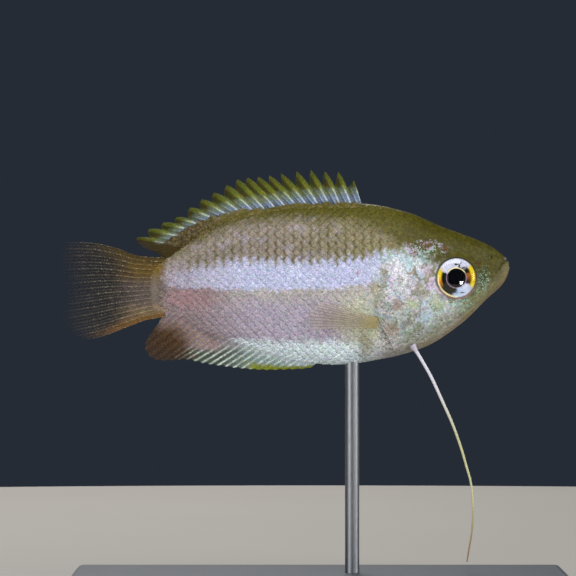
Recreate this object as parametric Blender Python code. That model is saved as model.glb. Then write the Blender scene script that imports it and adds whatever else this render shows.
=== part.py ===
"""Honey gourami, life size, swimming level with the head slightly raised, held on a plain display stand.

The head points to +X, the fish's left side to +Y and the back to +Z. The origin is the middle of the
underside of the stand's base. Lengths in the tables are millimetres and become metres through MM.
"""
import math

import bmesh
import bpy
from mathutils import Vector

MM = 0.001
GAP = 0.3

# Stand
BASE_LENGTH = 56.0
BASE_DEPTH = 28.0
BASE_HEIGHT = 3.0
BASE_EDGE_ROUND = 0.8
BASE_EDGE_STEPS = 3
ROD_DIAMETER = 1.6
ROD_X = 3.6
ROD_SIDES = 24
SHARP_ANGLE = math.radians(40.0)

# Outline of the body without fins, from the chin and snout to the root of the tail fin: x, height
NOSE_X = 21.25
NOSE_HEIGHT = 37.2
BACK_LINE = [(-18.3, 38.35), (-17.0, 38.95), (-15.1, 40.2), (-12.6, 41.75), (-7.6, 43.6), (-1.0, 44.4),
             (4.8, 44.45), (9.5, 43.6), (13.9, 41.8), (17.3, 40.55), (19.3, 39.6), (20.5, 38.7),
             (21.0, 38.1), (NOSE_X, NOSE_HEIGHT)]
BELLY_LINE = [(-18.3, 31.5), (-16.2, 31.6), (-12.4, 29.6), (-7.0, 27.9), (-2.0, 26.5), (2.0, 26.25),
              (7.3, 26.95), (11.7, 28.2), (15.9, 30.9), (18.8, 33.7), (20.4, 35.2), (21.1, 36.5),
              (NOSE_X, NOSE_HEIGHT)]
HALF_WIDTH = [(-18.3, 0.75), (-14.0, 1.45), (-9.0, 2.35), (-3.0, 3.15), (3.0, 3.45), (8.0, 3.35),
              (12.0, 2.95), (15.2, 2.45), (18.0, 1.8), (20.0, 1.2), (20.9, 0.7), (NOSE_X, 0.05)]
WIDEST_LEVEL = 0.5
BACK_SHARPNESS = 1.18
BELLY_SHARPNESS = 1.0

# Places where the body is parted
GILL_X = 6.3
GILL_LEVEL = 32.5
GILL_SWEEP = 3.6
GILL_SPREAD = 4.5
STALK_X = -13.2
TAIL_END_X = -18.2
RING_POINTS = 32
HEAD_RINGS = 19
TRUNK_RINGS = 24
STALK_RINGS = 7
NOSE_POLE = 0.01

# Guides that cut reach past the body's sides by this much on y
CUT_REACH = 5.0

# Gill covers, lower jaw and eyes
GILL_COVER_CENTRE = (7.4, 33.1)
GILL_COVER_RADII = (4.5, 4.9)
GILL_COVER_INNER_Y = 2.0
GILL_COVER_POINTS = 36
JAW_EDGES = [(23.0, 38.7), (20.0, 37.35), (17.9, 31.4), (23.0, 31.4)]
EYE_X = 15.19
EYE_HEIGHT = 36.04
EYE_Y = 1.62
EYE_RADIUS = 2.3
EYE_HALF_DEPTH = 1.08
EYE_SEGMENTS = 28
EYE_RINGS = 12

# Fins
FIN_THICKNESS = 0.5
SPINES = 18
SPINE_TIPS = [(3.8, 46.9), (-0.8, 48.15), (-5.25, 47.6), (-8.75, 47.25), (-12.4, 45.35), (-16.25, 42.65),
              (-20.6, 40.45)]
SPINE_NOTCHES = [(3.25, 45.8), (-1.45, 46.05), (-5.95, 45.7), (-9.3, 45.1), (-13.3, 43.1), (-18.2, 41.1)]
FLAG_HALF_WIDTH = 0.36
FLAG_SHOULDER = 2.5
FLAG_TIP = 0.4
SOFT_DORSAL_EDGE = [(-20.2, 39.95), (-19.3, 39.25), (-18.4, 38.95)]
DORSAL_FRONT_X = 4.9
DORSAL_REAR_X = -17.2
DORSAL_FOOT_POINTS = 20
ANAL_RIM = [(-0.5, 25.95), (-1.7, 25.9), (-7.0, 25.8), (-12.3, 26.45), (-15.0, 26.95), (-17.0, 26.8),
            (-18.5, 26.95), (-19.35, 27.6), (-19.6, 28.5), (-18.9, 29.9), (-17.9, 30.9)]
ANAL_RAYS = 26
ANAL_TOOTH = 0.07
ANAL_FOOT_POINTS = 16
ANAL_FRONT_X = -1.0
ANAL_REAR_X = -17.4
CAUDAL_EDGE = [(-18.5, 38.35), (-20.5, 38.6), (-22.9, 39.45), (-25.4, 40.0), (-28.4, 40.05), (-29.1, 39.4),
               (-28.85, 37.2), (-28.35, 34.4), (-28.75, 31.8), (-28.2, 30.1), (-26.7, 28.95), (-24.9, 29.25),
               (-22.0, 30.4), (-18.5, 31.5)]
CAUDAL_RAYS = 14
CAUDAL_TOOTH = 0.08
CAUDAL_TOOTHED = (0.35, 0.75)
PECTORAL_ROOT = (6.6, 31.4)
PECTORAL_EDGE = [(6.3, 31.9), (3.2, 32.9), (0.4, 33.3), (-1.1, 32.55), (-1.55, 31.5), (-1.0, 30.3),
                 (1.6, 30.45), (4.3, 30.35), (6.2, 30.75)]
PECTORAL_POINTS = 30
PECTORAL_Y = 3.75
PECTORAL_SPLAY = math.radians(11.0)

# Feelers, one under each side of the throat
FEELER_Y = 1.35
FEELER_SPREAD_Y = 1.6
FEELER_ROUTE = [(10.9, 27.45), (11.5, 26.7), (12.44, 25.1), (13.65, 22.3), (14.8, 19.7), (15.7, 17.2),
                (16.37, 14.9), (16.85, 13.1), (17.05, 10.9), (17.05, 9.0), (16.9, 7.3), (16.6, 5.6),
                (16.4, 4.5)]
FEELER_STEPS = 30
FEELER_ROOT_RADIUS = 0.31
FEELER_TIP_RADIUS = 0.25
EYE_LINE_DISTANCE = 450.0
VIEW_CENTRE = (-3.6, 34.9)


def material(name, colour, roughness, metallic=0.0):
    """One plain finish."""
    made = bpy.data.materials.new(name)
    made.use_nodes = True
    shader = made.node_tree.nodes["Principled BSDF"]
    shader.inputs["Base Color"].default_value = (*colour, 1.0)
    shader.inputs["Roughness"].default_value = roughness
    shader.inputs["Metallic"].default_value = metallic
    return made


def curve_value(points, x):
    """Height at x on a smooth curve through points that are sorted by x, with no overshoot."""
    if x <= points[0][0]:
        return points[0][1]
    if x >= points[-1][0]:
        return points[-1][1]
    slopes = [(b[1] - a[1]) / (b[0] - a[0]) for a, b in zip(points, points[1:])]
    tangents = [slopes[0]]
    for before, after in zip(slopes, slopes[1:]):
        same_way = before * after > 0.0
        tangents.append(2.0 * before * after / (before + after) if same_way else 0.0)
    tangents.append(slopes[-1])
    for index, (a, b) in enumerate(zip(points, points[1:])):
        if x <= b[0]:
            span = b[0] - a[0]
            t = (x - a[0]) / span
            return ((2 * t ** 3 - 3 * t ** 2 + 1) * a[1] + (t ** 3 - 2 * t ** 2 + t) * span * tangents[index]
                    + (3 * t ** 2 - 2 * t ** 3) * b[1] + (t ** 3 - t ** 2) * span * tangents[index + 1])
    return points[-1][1]


def path_point(points, share):
    """Point at a share of the way along a smooth path through points, which need not be sorted."""
    place = min(max(share, 0.0), 1.0) * (len(points) - 1)
    index = min(int(place), len(points) - 2)
    t = place - index
    last = len(points) - 1
    four = [points[max(index - 1, 0)], points[index], points[index + 1], points[min(index + 2, last)]]
    return tuple(0.5 * (2 * b + (c - a) * t + (2 * a - 5 * b + 4 * c - d) * t ** 2
                        + (3 * b - a - 3 * c + d) * t ** 3) for a, b, c, d in zip(*four))


def section_point(x, angle):
    """Point of the body's surface at x; the angle runs from the back, down the right side, to the belly."""
    top = curve_value(BACK_LINE, x)
    bottom = curve_value(BELLY_LINE, x)
    level = bottom + WIDEST_LEVEL * (top - bottom)
    upper = math.cos(angle) >= 0.0
    reach = top - level if upper else level - bottom
    sharpness = BACK_SHARPNESS if upper else BELLY_SHARPNESS
    side = math.copysign(abs(math.sin(angle)) ** sharpness, math.sin(angle))
    return -curve_value(HALF_WIDTH, x) * side, level + reach * math.cos(angle)


def gill_sweep(height):
    """How far forward of its rearmost point the gill opening lies at a height."""
    share = ((height - GILL_LEVEL) / GILL_SPREAD) ** 2
    return GILL_SWEEP * share / (share + 1.0)


def body_ring(x, sweep):
    """One ring of the body; sweep, from 0 to 1, bends it along the gill opening."""
    ring = []
    for step in range(RING_POINTS):
        angle = 2.0 * math.pi * step / RING_POINTS
        height = section_point(x, angle)[1]
        place = x + sweep * gill_sweep(height)
        y, z = section_point(place, angle)
        ring.append(Vector((place, y, z)) * MM)
    return ring


def fill_ring(mesh, ring):
    """Close a ring with strips from side to side, so that it bends only in side view."""
    half = len(ring) // 2
    mesh.faces.new((ring[0], ring[1], ring[-1]))
    for step in range(1, half - 1):
        mesh.faces.new((ring[step], ring[step + 1], ring[-step - 1], ring[-step]))
    mesh.faces.new((ring[half - 1], ring[half], ring[half + 1]))


def finish(name, mesh, finish_material):
    """Turn a closed bmesh into a named object."""
    bmesh.ops.recalc_face_normals(mesh, faces=mesh.faces[:])
    data = bpy.data.meshes.new(name)
    mesh.to_mesh(data)
    mesh.free()
    data.materials.append(finish_material)
    data.shade_smooth()
    made = bpy.data.objects.new(name, data)
    bpy.context.collection.objects.link(made)
    return made


def body_piece(name, stations, finish_material):
    """A length of the body through rings at (x, sweep) stations, closed at both ends or to the nose's tip."""
    mesh = bmesh.new()
    open_stations = [station for station in stations if station[0] < NOSE_X - NOSE_POLE]
    rings = [[mesh.verts.new(point) for point in body_ring(x, sweep)] for x, sweep in open_stations]
    for near, far in zip(rings, rings[1:]):
        for step in range(RING_POINTS):
            after = (step + 1) % RING_POINTS
            mesh.faces.new((near[step], near[after], far[after], far[step]))
    fill_ring(mesh, rings[0])
    if len(open_stations) == len(stations):
        fill_ring(mesh, rings[-1])
    else:
        tip = mesh.verts.new(Vector((NOSE_X, 0.0, NOSE_HEIGHT)) * MM)
        for step in range(RING_POINTS):
            mesh.faces.new((rings[-1][step], rings[-1][(step + 1) % RING_POINTS], tip))
    return finish(name, mesh, finish_material)


def even(start, end, count):
    """count values from start to end."""
    return [start + (end - start) * step / (count - 1) for step in range(count)]


def outline_slab(name, outline, y_near, y_far, finish_material):
    """A flat plate with an (x, height) outline between two y planes."""
    mesh = bmesh.new()
    face = mesh.faces.new([mesh.verts.new(Vector((x, y_near, z)) * MM) for x, z in outline])
    grown_part = bmesh.ops.extrude_face_region(mesh, geom=[face])
    moved = [item for item in grown_part["geom"] if isinstance(item, bmesh.types.BMVert)]
    bmesh.ops.translate(mesh, verts=moved, vec=Vector((0.0, y_far - y_near, 0.0)) * MM)
    bmesh.ops.triangulate(mesh, faces=mesh.faces[:])
    return finish(name, mesh, finish_material)


def grown(outline, margin):
    """A convex outline, listed anticlockwise, with every edge moved outwards by margin."""
    moved = []
    count = len(outline)
    for index in range(count):
        before, here, after = outline[index - 1], outline[index], outline[(index + 1) % count]
        first = Vector((here[0] - before[0], here[1] - before[1])).normalized()
        second = Vector((after[0] - here[0], after[1] - here[1])).normalized()
        outward = Vector((first.y + second.y, -first.x - second.x)).normalized()
        reach = margin / max(outward.dot(Vector((first.y, -first.x))), 0.2)
        moved.append((here[0] + outward.x * reach, here[1] + outward.y * reach))
    return moved


def oval(centre, radii, count):
    """An anticlockwise oval outline."""
    return [(centre[0] + radii[0] * math.cos(2.0 * math.pi * step / count),
             centre[1] + radii[1] * math.sin(2.0 * math.pi * step / count)) for step in range(count)]


def cutter(made):
    """Mark an object as a guide that only cuts."""
    made.hide_render = True
    made.display_type = "WIRE"
    return made


def cut(target, tool, operation):
    """Cut target with tool, exactly."""
    modifier = target.modifiers.new(operation.lower(), "BOOLEAN")
    modifier.operation = operation
    modifier.solver = "EXACT"
    modifier.object = tool


def ball(name, centre, radii, finish_material):
    """An oval ball with its pole on the y axis."""
    bpy.ops.mesh.primitive_uv_sphere_add(segments=EYE_SEGMENTS, ring_count=EYE_RINGS, radius=1.0)
    made = bpy.context.object
    made.name = name
    for vertex in made.data.vertices:
        x, y, z = vertex.co
        vertex.co = Vector((centre[0] + x * radii[0], centre[1] + z * radii[1],
                            centre[2] - y * radii[2])) * MM
    made.data.materials.append(finish_material)
    made.data.shade_smooth()
    return made


def head_stations():
    """Rings from the gill opening to the tip of the snout, closer together at the snout."""
    stations = []
    for share in even(0.0, 1.0, HEAD_RINGS):
        x = GILL_X + (NOSE_X - GILL_X) * math.sin(share * math.pi / 2.0)
        stations.append((x, (1.0 - share) ** 1.5))
    return stations


def build_head(flesh, cover_finish):
    """Head with its gill covers, its lower jaw and its two eye sockets."""
    stations = head_stations()
    head = body_piece("head", stations, flesh)
    jaw = body_piece("lower_jaw", stations, flesh)
    jaw_block = cutter(outline_slab("cut_jaw", JAW_EDGES, -CUT_REACH, CUT_REACH, flesh))
    jaw_gap = cutter(outline_slab("cut_jaw_gap", grown(JAW_EDGES, GAP), -CUT_REACH, CUT_REACH, flesh))
    cut(jaw, jaw_block, "INTERSECT")
    cut(head, jaw_gap, "DIFFERENCE")
    cover_outline = oval(GILL_COVER_CENTRE, GILL_COVER_RADII, GILL_COVER_POINTS)
    for side, sign in (("right", -1.0), ("left", 1.0)):
        cover = body_piece("gill_cover_" + side, stations, cover_finish)
        block = outline_slab("cut_cover_" + side, cover_outline,
                             sign * GILL_COVER_INNER_Y, sign * CUT_REACH, flesh)
        room = outline_slab("cut_cover_gap_" + side, grown(cover_outline, GAP),
                            sign * (GILL_COVER_INNER_Y - GAP), sign * (CUT_REACH + GAP), flesh)
        cut(cover, cutter(block), "INTERSECT")
        cut(head, cutter(room), "DIFFERENCE")
        socket = ball("cut_socket_" + side, (EYE_X, sign * EYE_Y, EYE_HEIGHT),
                      (EYE_RADIUS + GAP, EYE_HALF_DEPTH + GAP, EYE_RADIUS + GAP), flesh)
        cut(head, cutter(socket), "DIFFERENCE")


def build_eyes(eye_finish):
    """Two flattened eyeballs."""
    for side, sign in (("right", -1.0), ("left", 1.0)):
        ball("eye_" + side, (EYE_X, sign * EYE_Y, EYE_HEIGHT),
             (EYE_RADIUS, EYE_HALF_DEPTH, EYE_RADIUS), eye_finish)


def build_trunk(flesh):
    """Trunk from the gill opening to the tail stalk, and the stalk up to the tail fin."""
    trunk = [(x, ((x - STALK_X) / (GILL_X - STALK_X)) ** 3)
             for x in even(GILL_X - GAP, STALK_X, TRUNK_RINGS)]
    body_piece("trunk", trunk, flesh)
    body_piece("tail_stalk", [(x, 0.0) for x in even(STALK_X - GAP, TAIL_END_X, STALK_RINGS)], flesh)


def back_base(x):
    """Foot of the dorsal fin over the back."""
    return curve_value(BACK_LINE, x) + GAP


def belly_base(x):
    """Foot of the anal fin under the belly."""
    return curve_value(BELLY_LINE, x) - GAP


def build_dorsal_fin(membrane):
    """Long dorsal fin: a row of slanting spines with a free flag at each tip, then a soft lobe."""
    foot = Vector((DORSAL_FRONT_X, back_base(DORSAL_FRONT_X)))
    outline = [foot]
    last_notch = foot
    for spine in range(SPINES):
        tip = Vector(path_point(SPINE_TIPS, spine / (SPINES - 1)))
        notch = Vector(path_point(SPINE_NOTCHES, min(spine / (SPINES - 2), 1.0)))
        lean = (tip - (last_notch + notch) / 2.0).normalized()
        forward = Vector((lean.y, -lean.x)) * FLAG_HALF_WIDTH
        shoulder = tip - lean * FLAG_SHOULDER * FLAG_HALF_WIDTH
        outline.extend((shoulder + forward, tip + forward * FLAG_TIP,
                        tip - forward * FLAG_TIP, shoulder - forward))
        if spine < SPINES - 1:
            outline.append(notch)
        last_notch = notch
    outline.extend(SOFT_DORSAL_EDGE)
    foot_places = even(DORSAL_REAR_X, DORSAL_FRONT_X, DORSAL_FOOT_POINTS)
    outline.extend((x, back_base(x)) for x in foot_places[:-1])
    outline_slab("dorsal_fin", outline, -FIN_THICKNESS / 2.0, FIN_THICKNESS / 2.0, membrane)


def build_anal_fin(membrane):
    """Long anal fin with a finely toothed rim that deepens to a rounded rear lobe."""
    rim = []
    for step in range(2 * ANAL_RAYS + 1):
        x, z = path_point(ANAL_RIM, step / (2 * ANAL_RAYS))
        tooth = ANAL_TOOTH if step % 2 else -ANAL_TOOTH
        rim.append((x, z + tooth))
    foot = [(x, belly_base(x)) for x in even(ANAL_REAR_X, ANAL_FRONT_X, ANAL_FOOT_POINTS)]
    outline_slab("anal_fin", rim + foot, -FIN_THICKNESS / 2.0, FIN_THICKNESS / 2.0, membrane)


def build_caudal_fin(membrane):
    """Fan-shaped tail fin with a shallow notch, its rear edge ending in ray tips."""
    edge = []
    for step in range(4 * CAUDAL_RAYS + 1):
        share = step / (4 * CAUDAL_RAYS)
        x, z = path_point(CAUDAL_EDGE, share)
        toothed = step % 2 and CAUDAL_TOOTHED[0] < share < CAUDAL_TOOTHED[1]
        tooth = CAUDAL_TOOTH if toothed else 0.0
        edge.append((x - tooth, z))
    outline_slab("caudal_fin", edge, -FIN_THICKNESS / 2.0, FIN_THICKNESS / 2.0, membrane)


def build_pectoral_fins(membrane):
    """A small fan behind each gill cover, swung a little away from the flank."""
    outline = [PECTORAL_ROOT]
    outline.extend(path_point(PECTORAL_EDGE, share) for share in even(0.0, 1.0, PECTORAL_POINTS))
    for side, sign in (("right", -1.0), ("left", 1.0)):
        inner = sign * PECTORAL_Y
        fin = outline_slab("pectoral_fin_" + side, outline, inner, inner + sign * FIN_THICKNESS, membrane)
        for vertex in fin.data.vertices:
            behind = PECTORAL_ROOT[0] - vertex.co.x / MM
            vertex.co.y += sign * behind * math.tan(PECTORAL_SPLAY) * MM


def build_feelers(thread):
    """Long thread-like pelvic fins. From the right side the left one lies in line behind the right one."""
    for side, sign in (("right", -1.0), ("left", 1.0)):
        spline_data = bpy.data.curves.new("pelvic_fin_" + side, "CURVE")
        spline_data.dimensions = "3D"
        spline_data.bevel_depth = MM
        spline_data.bevel_resolution = 2
        spline_data.render_resolution_u = 0
        spline_data.use_fill_caps = True
        spline = spline_data.splines.new("POLY")
        spline.points.add(FEELER_STEPS - 1)
        for step, point in enumerate(spline.points):
            share = step / (FEELER_STEPS - 1)
            x, z = path_point(FEELER_ROUTE, share)
            y = sign * (FEELER_Y + (FEELER_SPREAD_Y - FEELER_Y) * share)
            scale = 1.0 if sign < 0.0 else 1.0 + 2.0 * y / EYE_LINE_DISTANCE
            x = VIEW_CENTRE[0] + (x - VIEW_CENTRE[0]) * scale
            z = VIEW_CENTRE[1] + (z - VIEW_CENTRE[1]) * scale
            point.co = (x * MM, y * MM, z * MM, 1.0)
            point.radius = FEELER_ROOT_RADIUS + (FEELER_TIP_RADIUS - FEELER_ROOT_RADIUS) * share
        spline_data.materials.append(thread)
        feeler = bpy.data.objects.new("pelvic_fin_" + side, spline_data)
        bpy.context.collection.objects.link(feeler)


def build_stand(base_finish, rod_finish):
    """Flat base with softened top edges, and one rod up to the belly in front of the anal fin."""
    bpy.ops.mesh.primitive_cube_add(size=1.0, location=(0.0, 0.0, BASE_HEIGHT / 2.0 * MM))
    base = bpy.context.object
    base.name = "stand_base"
    for vertex in base.data.vertices:
        vertex.co.x *= BASE_LENGTH * MM
        vertex.co.y *= BASE_DEPTH * MM
        vertex.co.z *= BASE_HEIGHT * MM
    edges = base.modifiers.new("softened edges", "BEVEL")
    edges.width = BASE_EDGE_ROUND * MM
    edges.segments = BASE_EDGE_STEPS
    base.data.materials.append(base_finish)
    top = curve_value(BELLY_LINE, ROD_X) - GAP
    foot = BASE_HEIGHT + GAP
    bpy.ops.mesh.primitive_cylinder_add(
        vertices=ROD_SIDES, radius=ROD_DIAMETER / 2.0 * MM, depth=(top - foot) * MM,
        location=(ROD_X * MM, 0.0, (top + foot) / 2.0 * MM))
    rod = bpy.context.object
    rod.name = "stand_rod"
    rod.data.materials.append(rod_finish)
    rod.data.shade_smooth()
    rod.data.set_sharp_from_angle(angle=SHARP_ANGLE)


def main():
    for item in list(bpy.data.objects):
        bpy.data.objects.remove(item)
    flesh = material("silver_flank", (0.36, 0.35, 0.34), 0.45, 0.1)
    cover_finish = material("gill_cover_silver", (0.42, 0.43, 0.40), 0.4, 0.15)
    eye_finish = material("eye", (0.75, 0.62, 0.30), 0.15)
    back_fin = material("olive_fin", (0.13, 0.15, 0.05), 0.5)
    lower_fin = material("silver_green_fin", (0.22, 0.24, 0.16), 0.5)
    tail_fin = material("smoky_fin", (0.09, 0.07, 0.05), 0.5)
    clear_fin = material("amber_fin", (0.40, 0.34, 0.20), 0.4)
    thread = material("cream_thread", (0.62, 0.60, 0.42), 0.5)
    base_finish = material("slate_base", (0.06, 0.065, 0.075), 0.55)
    rod_finish = material("steel_rod", (0.55, 0.56, 0.57), 0.3, 1.0)
    build_head(flesh, cover_finish)
    build_eyes(eye_finish)
    build_trunk(flesh)
    build_dorsal_fin(back_fin)
    build_anal_fin(lower_fin)
    build_caudal_fin(tail_fin)
    build_pectoral_fins(clear_fin)
    build_feelers(thread)
    build_stand(base_finish, rod_finish)


main()
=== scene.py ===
"""Looks of a life-size honey gourami model: skin, scales, eyes, fins, feelers, stand and studio."""
import math

import bpy
import numpy as np
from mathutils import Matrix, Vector


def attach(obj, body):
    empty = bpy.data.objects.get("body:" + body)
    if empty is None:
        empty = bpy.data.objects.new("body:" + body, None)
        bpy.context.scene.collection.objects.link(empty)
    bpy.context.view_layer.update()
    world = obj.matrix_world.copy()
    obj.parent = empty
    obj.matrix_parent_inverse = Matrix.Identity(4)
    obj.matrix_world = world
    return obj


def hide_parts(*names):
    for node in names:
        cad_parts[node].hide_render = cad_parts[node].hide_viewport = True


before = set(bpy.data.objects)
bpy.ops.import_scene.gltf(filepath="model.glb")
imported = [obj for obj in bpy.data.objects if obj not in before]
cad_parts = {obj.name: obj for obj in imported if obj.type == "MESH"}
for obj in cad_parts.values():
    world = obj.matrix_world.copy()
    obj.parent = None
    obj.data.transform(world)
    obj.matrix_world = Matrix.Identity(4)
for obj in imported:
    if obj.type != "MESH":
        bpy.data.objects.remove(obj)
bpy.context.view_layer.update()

bl_info = {
    "name": "Honey Gourami Model",
    "version": (1, 0, 0),
    "blender": (4, 5, 0),
    "location": "3D View > Sidebar > Gourami",
    "description": "Builds the skin, scales, eyes, fins, feelers and stand of a honey gourami model",
    "category": "Object",
}

MM = 0.001
BODY = "root"
RIGHT = -1.0
LEFT = 1.0
SIDES = (("right", RIGHT), ("left", LEFT))

# Outline of the body without fins, in millimetres: x, height
NOSE_X = 21.25
NOSE_HEIGHT = 37.2
TAIL_X = -19.2
BACK_LINE = [(TAIL_X, 35.5), (-19.14, 36.4), (-18.95, 37.2), (-18.6, 37.85), (-18.0, 38.35), (-17.0, 38.95),
             (-15.1, 40.2), (-12.6, 41.75), (-7.6, 43.6), (-1.0, 44.4), (4.8, 44.45), (9.5, 43.6),
             (13.9, 41.8), (17.3, 40.55), (19.3, 39.6), (20.5, 38.7), (21.0, 38.1), (NOSE_X, NOSE_HEIGHT)]
BELLY_LINE = [(TAIL_X, 34.5), (-19.14, 33.6), (-18.95, 32.8), (-18.6, 32.1), (-18.0, 31.7), (-16.2, 31.6),
              (-12.4, 29.6), (-7.0, 27.9), (-2.0, 26.5), (2.0, 26.25), (7.3, 26.95), (11.7, 28.2),
              (15.9, 30.9), (18.8, 33.7), (20.4, 35.2), (21.1, 36.5), (NOSE_X, NOSE_HEIGHT)]
HALF_WIDTH = [(TAIL_X, 0.1), (-18.9, 0.34), (-18.3, 0.58), (-17.0, 0.95), (-14.0, 1.45), (-9.0, 2.35),
              (-3.0, 3.15), (3.0, 3.45), (8.0, 3.35), (12.0, 2.95), (15.2, 2.45), (18.0, 1.8), (20.0, 1.2),
              (20.9, 0.7), (NOSE_X, 0.1)]
BACK_SHARPNESS = 1.18
BELLY_SHARPNESS = 1.0

# Gill opening: its rearmost place, and how it sweeps forward above and below
GILL_X = 6.3
GILL_LEVEL = 32.5
GILL_SWEEP = 3.6
GILL_SPREAD = 4.5
GILL_TOP = 38.6
STALK_X = -13.2

# Camera framing: one pixel of the photo's frame at the fish, and the frame's middle
FRAME_PIXELS = 576
PIXEL = 0.1121
VIEW_X = -3.59
VIEW_HEIGHT = 34.92
VIEW_DISTANCE = 450.0
SENSOR = 36.0


def curve_value(points, x):
    """Height at x on a smooth curve through points that are sorted by x, with no overshoot."""
    if x <= points[0][0]:
        return points[0][1]
    if x >= points[-1][0]:
        return points[-1][1]
    slopes = [(b[1] - a[1]) / (b[0] - a[0]) for a, b in zip(points, points[1:])]
    tangents = [slopes[0]]
    for before, after in zip(slopes, slopes[1:]):
        same_way = before * after > 0.0
        tangents.append(2.0 * before * after / (before + after) if same_way else 0.0)
    tangents.append(slopes[-1])
    for index, (a, b) in enumerate(zip(points, points[1:])):
        if x <= b[0]:
            span = b[0] - a[0]
            t = (x - a[0]) / span
            return ((2 * t ** 3 - 3 * t ** 2 + 1) * a[1] + (t ** 3 - 2 * t ** 2 + t) * span * tangents[index]
                    + (3 * t ** 2 - 2 * t ** 3) * b[1] + (t ** 3 - t ** 2) * span * tangents[index + 1])
    return points[-1][1]


def path_points(points, count):
    """count points, evenly spaced by length, along a smooth path through points."""
    places = np.linspace(0.0, len(points) - 1.0, 40 * len(points))
    listed = np.array([points[0], *points, points[-1]], float)
    index = np.minimum(places.astype(int), len(points) - 2)
    t = (places - index)[:, None]
    a, b, c, d = (listed[index + shift] for shift in range(4))
    dense = 0.5 * (2 * b + (c - a) * t + (2 * a - 5 * b + 4 * c - d) * t ** 2
                   + (3 * b - a - 3 * c + d) * t ** 3)
    lengths = np.concatenate([[0.0], np.cumsum(np.linalg.norm(np.diff(dense, axis=0), axis=1))])
    wanted = np.linspace(0.0, lengths[-1], count)
    return np.stack([np.interp(wanted, lengths, dense[:, axis]) for axis in range(dense.shape[1])], -1)


TABLE_X = TAIL_X + (NOSE_X - TAIL_X) * np.sin(np.linspace(0.0, math.pi / 2.0, 1600))
BACK_TABLE = np.array([curve_value(BACK_LINE, x) for x in TABLE_X])
BELLY_TABLE = np.array([curve_value(BELLY_LINE, x) for x in TABLE_X])
WIDTH_TABLE = np.array([curve_value(HALF_WIDTH, x) for x in TABLE_X])


def back_height(x):
    return np.interp(x, TABLE_X, BACK_TABLE)


def belly_height(x):
    return np.interp(x, TABLE_X, BELLY_TABLE)


def body_surface(x, angle, inset):
    """Points of the body's surface, lying inset inside the solids.

    The angle runs from the back, down the right side, to the belly and up the left side.
    """
    top = back_height(x) - inset
    bottom = belly_height(x) + inset
    half = np.maximum(np.interp(x, TABLE_X, WIDTH_TABLE) - inset, 0.03)
    cosine = np.cos(angle)
    sine = np.sin(angle)
    sharpness = np.where(cosine >= 0.0, BACK_SHARPNESS, BELLY_SHARPNESS)
    y = -half * np.sign(sine) * np.abs(sine) ** sharpness
    z = (top + bottom) / 2.0 + (top - bottom) / 2.0 * cosine
    return np.stack([x + 0.0 * angle, y, z], -1)


def side_distance(x, z):
    """Distance of the smooth body's side from the middle plane at a place in side view."""
    top = back_height(x)
    bottom = belly_height(x)
    share = np.clip((z - (top + bottom) / 2.0) / ((top - bottom) / 2.0), -0.99, 0.99)
    sharpness = np.where(share > 0.0, BACK_SHARPNESS, BELLY_SHARPNESS)
    return np.interp(x, TABLE_X, WIDTH_TABLE) * np.sqrt(1.0 - share ** 2) ** sharpness


def surface_normal(x, angle, inset):
    """Outward directions of the body's surface."""
    step = 0.02
    along = body_surface(x + step, angle, inset) - body_surface(x - step, angle, inset)
    around = body_surface(x, angle + step, inset) - body_surface(x, angle - step, inset)
    normal = np.cross(around, along)
    length = np.maximum(np.linalg.norm(normal, axis=-1, keepdims=True), 1e-9)
    return normal / length


def gill_sweep(height):
    """How far forward of its rearmost point the gill opening lies at a height."""
    share = ((height - GILL_LEVEL) / GILL_SPREAD) ** 2
    return GILL_SWEEP * share / (share + 1.0)


def smooth_step(value, low, high):
    """0 below low, 1 above high, smooth between; low may be the larger."""
    share = np.clip((value - low) / (high - low), 0.0, 1.0)
    return share * share * (3.0 - 2.0 * share)


def bump_at(distance, width):
    """A soft bump of height 1 where distance is 0."""
    return np.exp(-(distance / width) ** 2)


def route_distance(x, z, route):
    """Distance in side view from each point to a route of straight runs."""
    nearest = np.full(np.shape(x), 1e9)
    for start, end in zip(route, route[1:]):
        run_x = end[0] - start[0]
        run_z = end[1] - start[1]
        along = (x - start[0]) * run_x + (z - start[1]) * run_z
        share = np.clip(along / (run_x ** 2 + run_z ** 2), 0.0, 1.0)
        nearest = np.minimum(nearest, np.hypot(x - start[0] - share * run_x, z - start[1] - share * run_z))
    return nearest


def tint(*screen):
    """A colour given as it shows on a screen, 0 to 255, as the linear values that shaders use."""
    shares = [value / 255.0 for value in screen]
    return tuple(share / 12.92 if share <= 0.04045 else ((share + 0.055) / 1.055) ** 2.4 for share in shares)


def number(label, tip, default, **limits):
    """A setting that is a number, with its label and tip in the panel."""
    return bpy.props.FloatProperty(name=label, description=tip, default=default, **limits)


def whole(label, tip, default, **limits):
    """A setting that is a count."""
    return bpy.props.IntProperty(name=label, description=tip, default=default, **limits)


def hue(label, tip, default):
    """A setting that is a colour."""
    return bpy.props.FloatVectorProperty(name=label, description=tip, default=default, size=3,
                                         subtype="COLOR")


class GouramiBodySizes(bpy.types.PropertyGroup):
    """Sizes of the skin and its relief, in millimetres."""

    inset: number("Skin inset", "Depth of the skin inside the solids, mm", 0.1, min=0.0, max=0.5)
    rings: whole("Rings", "Rings of the skin from tail to snout", 300, min=80, max=400)
    around: whole("Points around", "Points in each ring of the skin", 224, min=64, max=320)
    gill_step: number("Gill edge", "Height of the gill cover's edge, mm", 0.11, min=0.0, max=0.4)
    mouth_depth: number("Mouth depth", "Depth of the mouth's slit, mm", 0.2, min=0.0, max=0.5)


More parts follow.
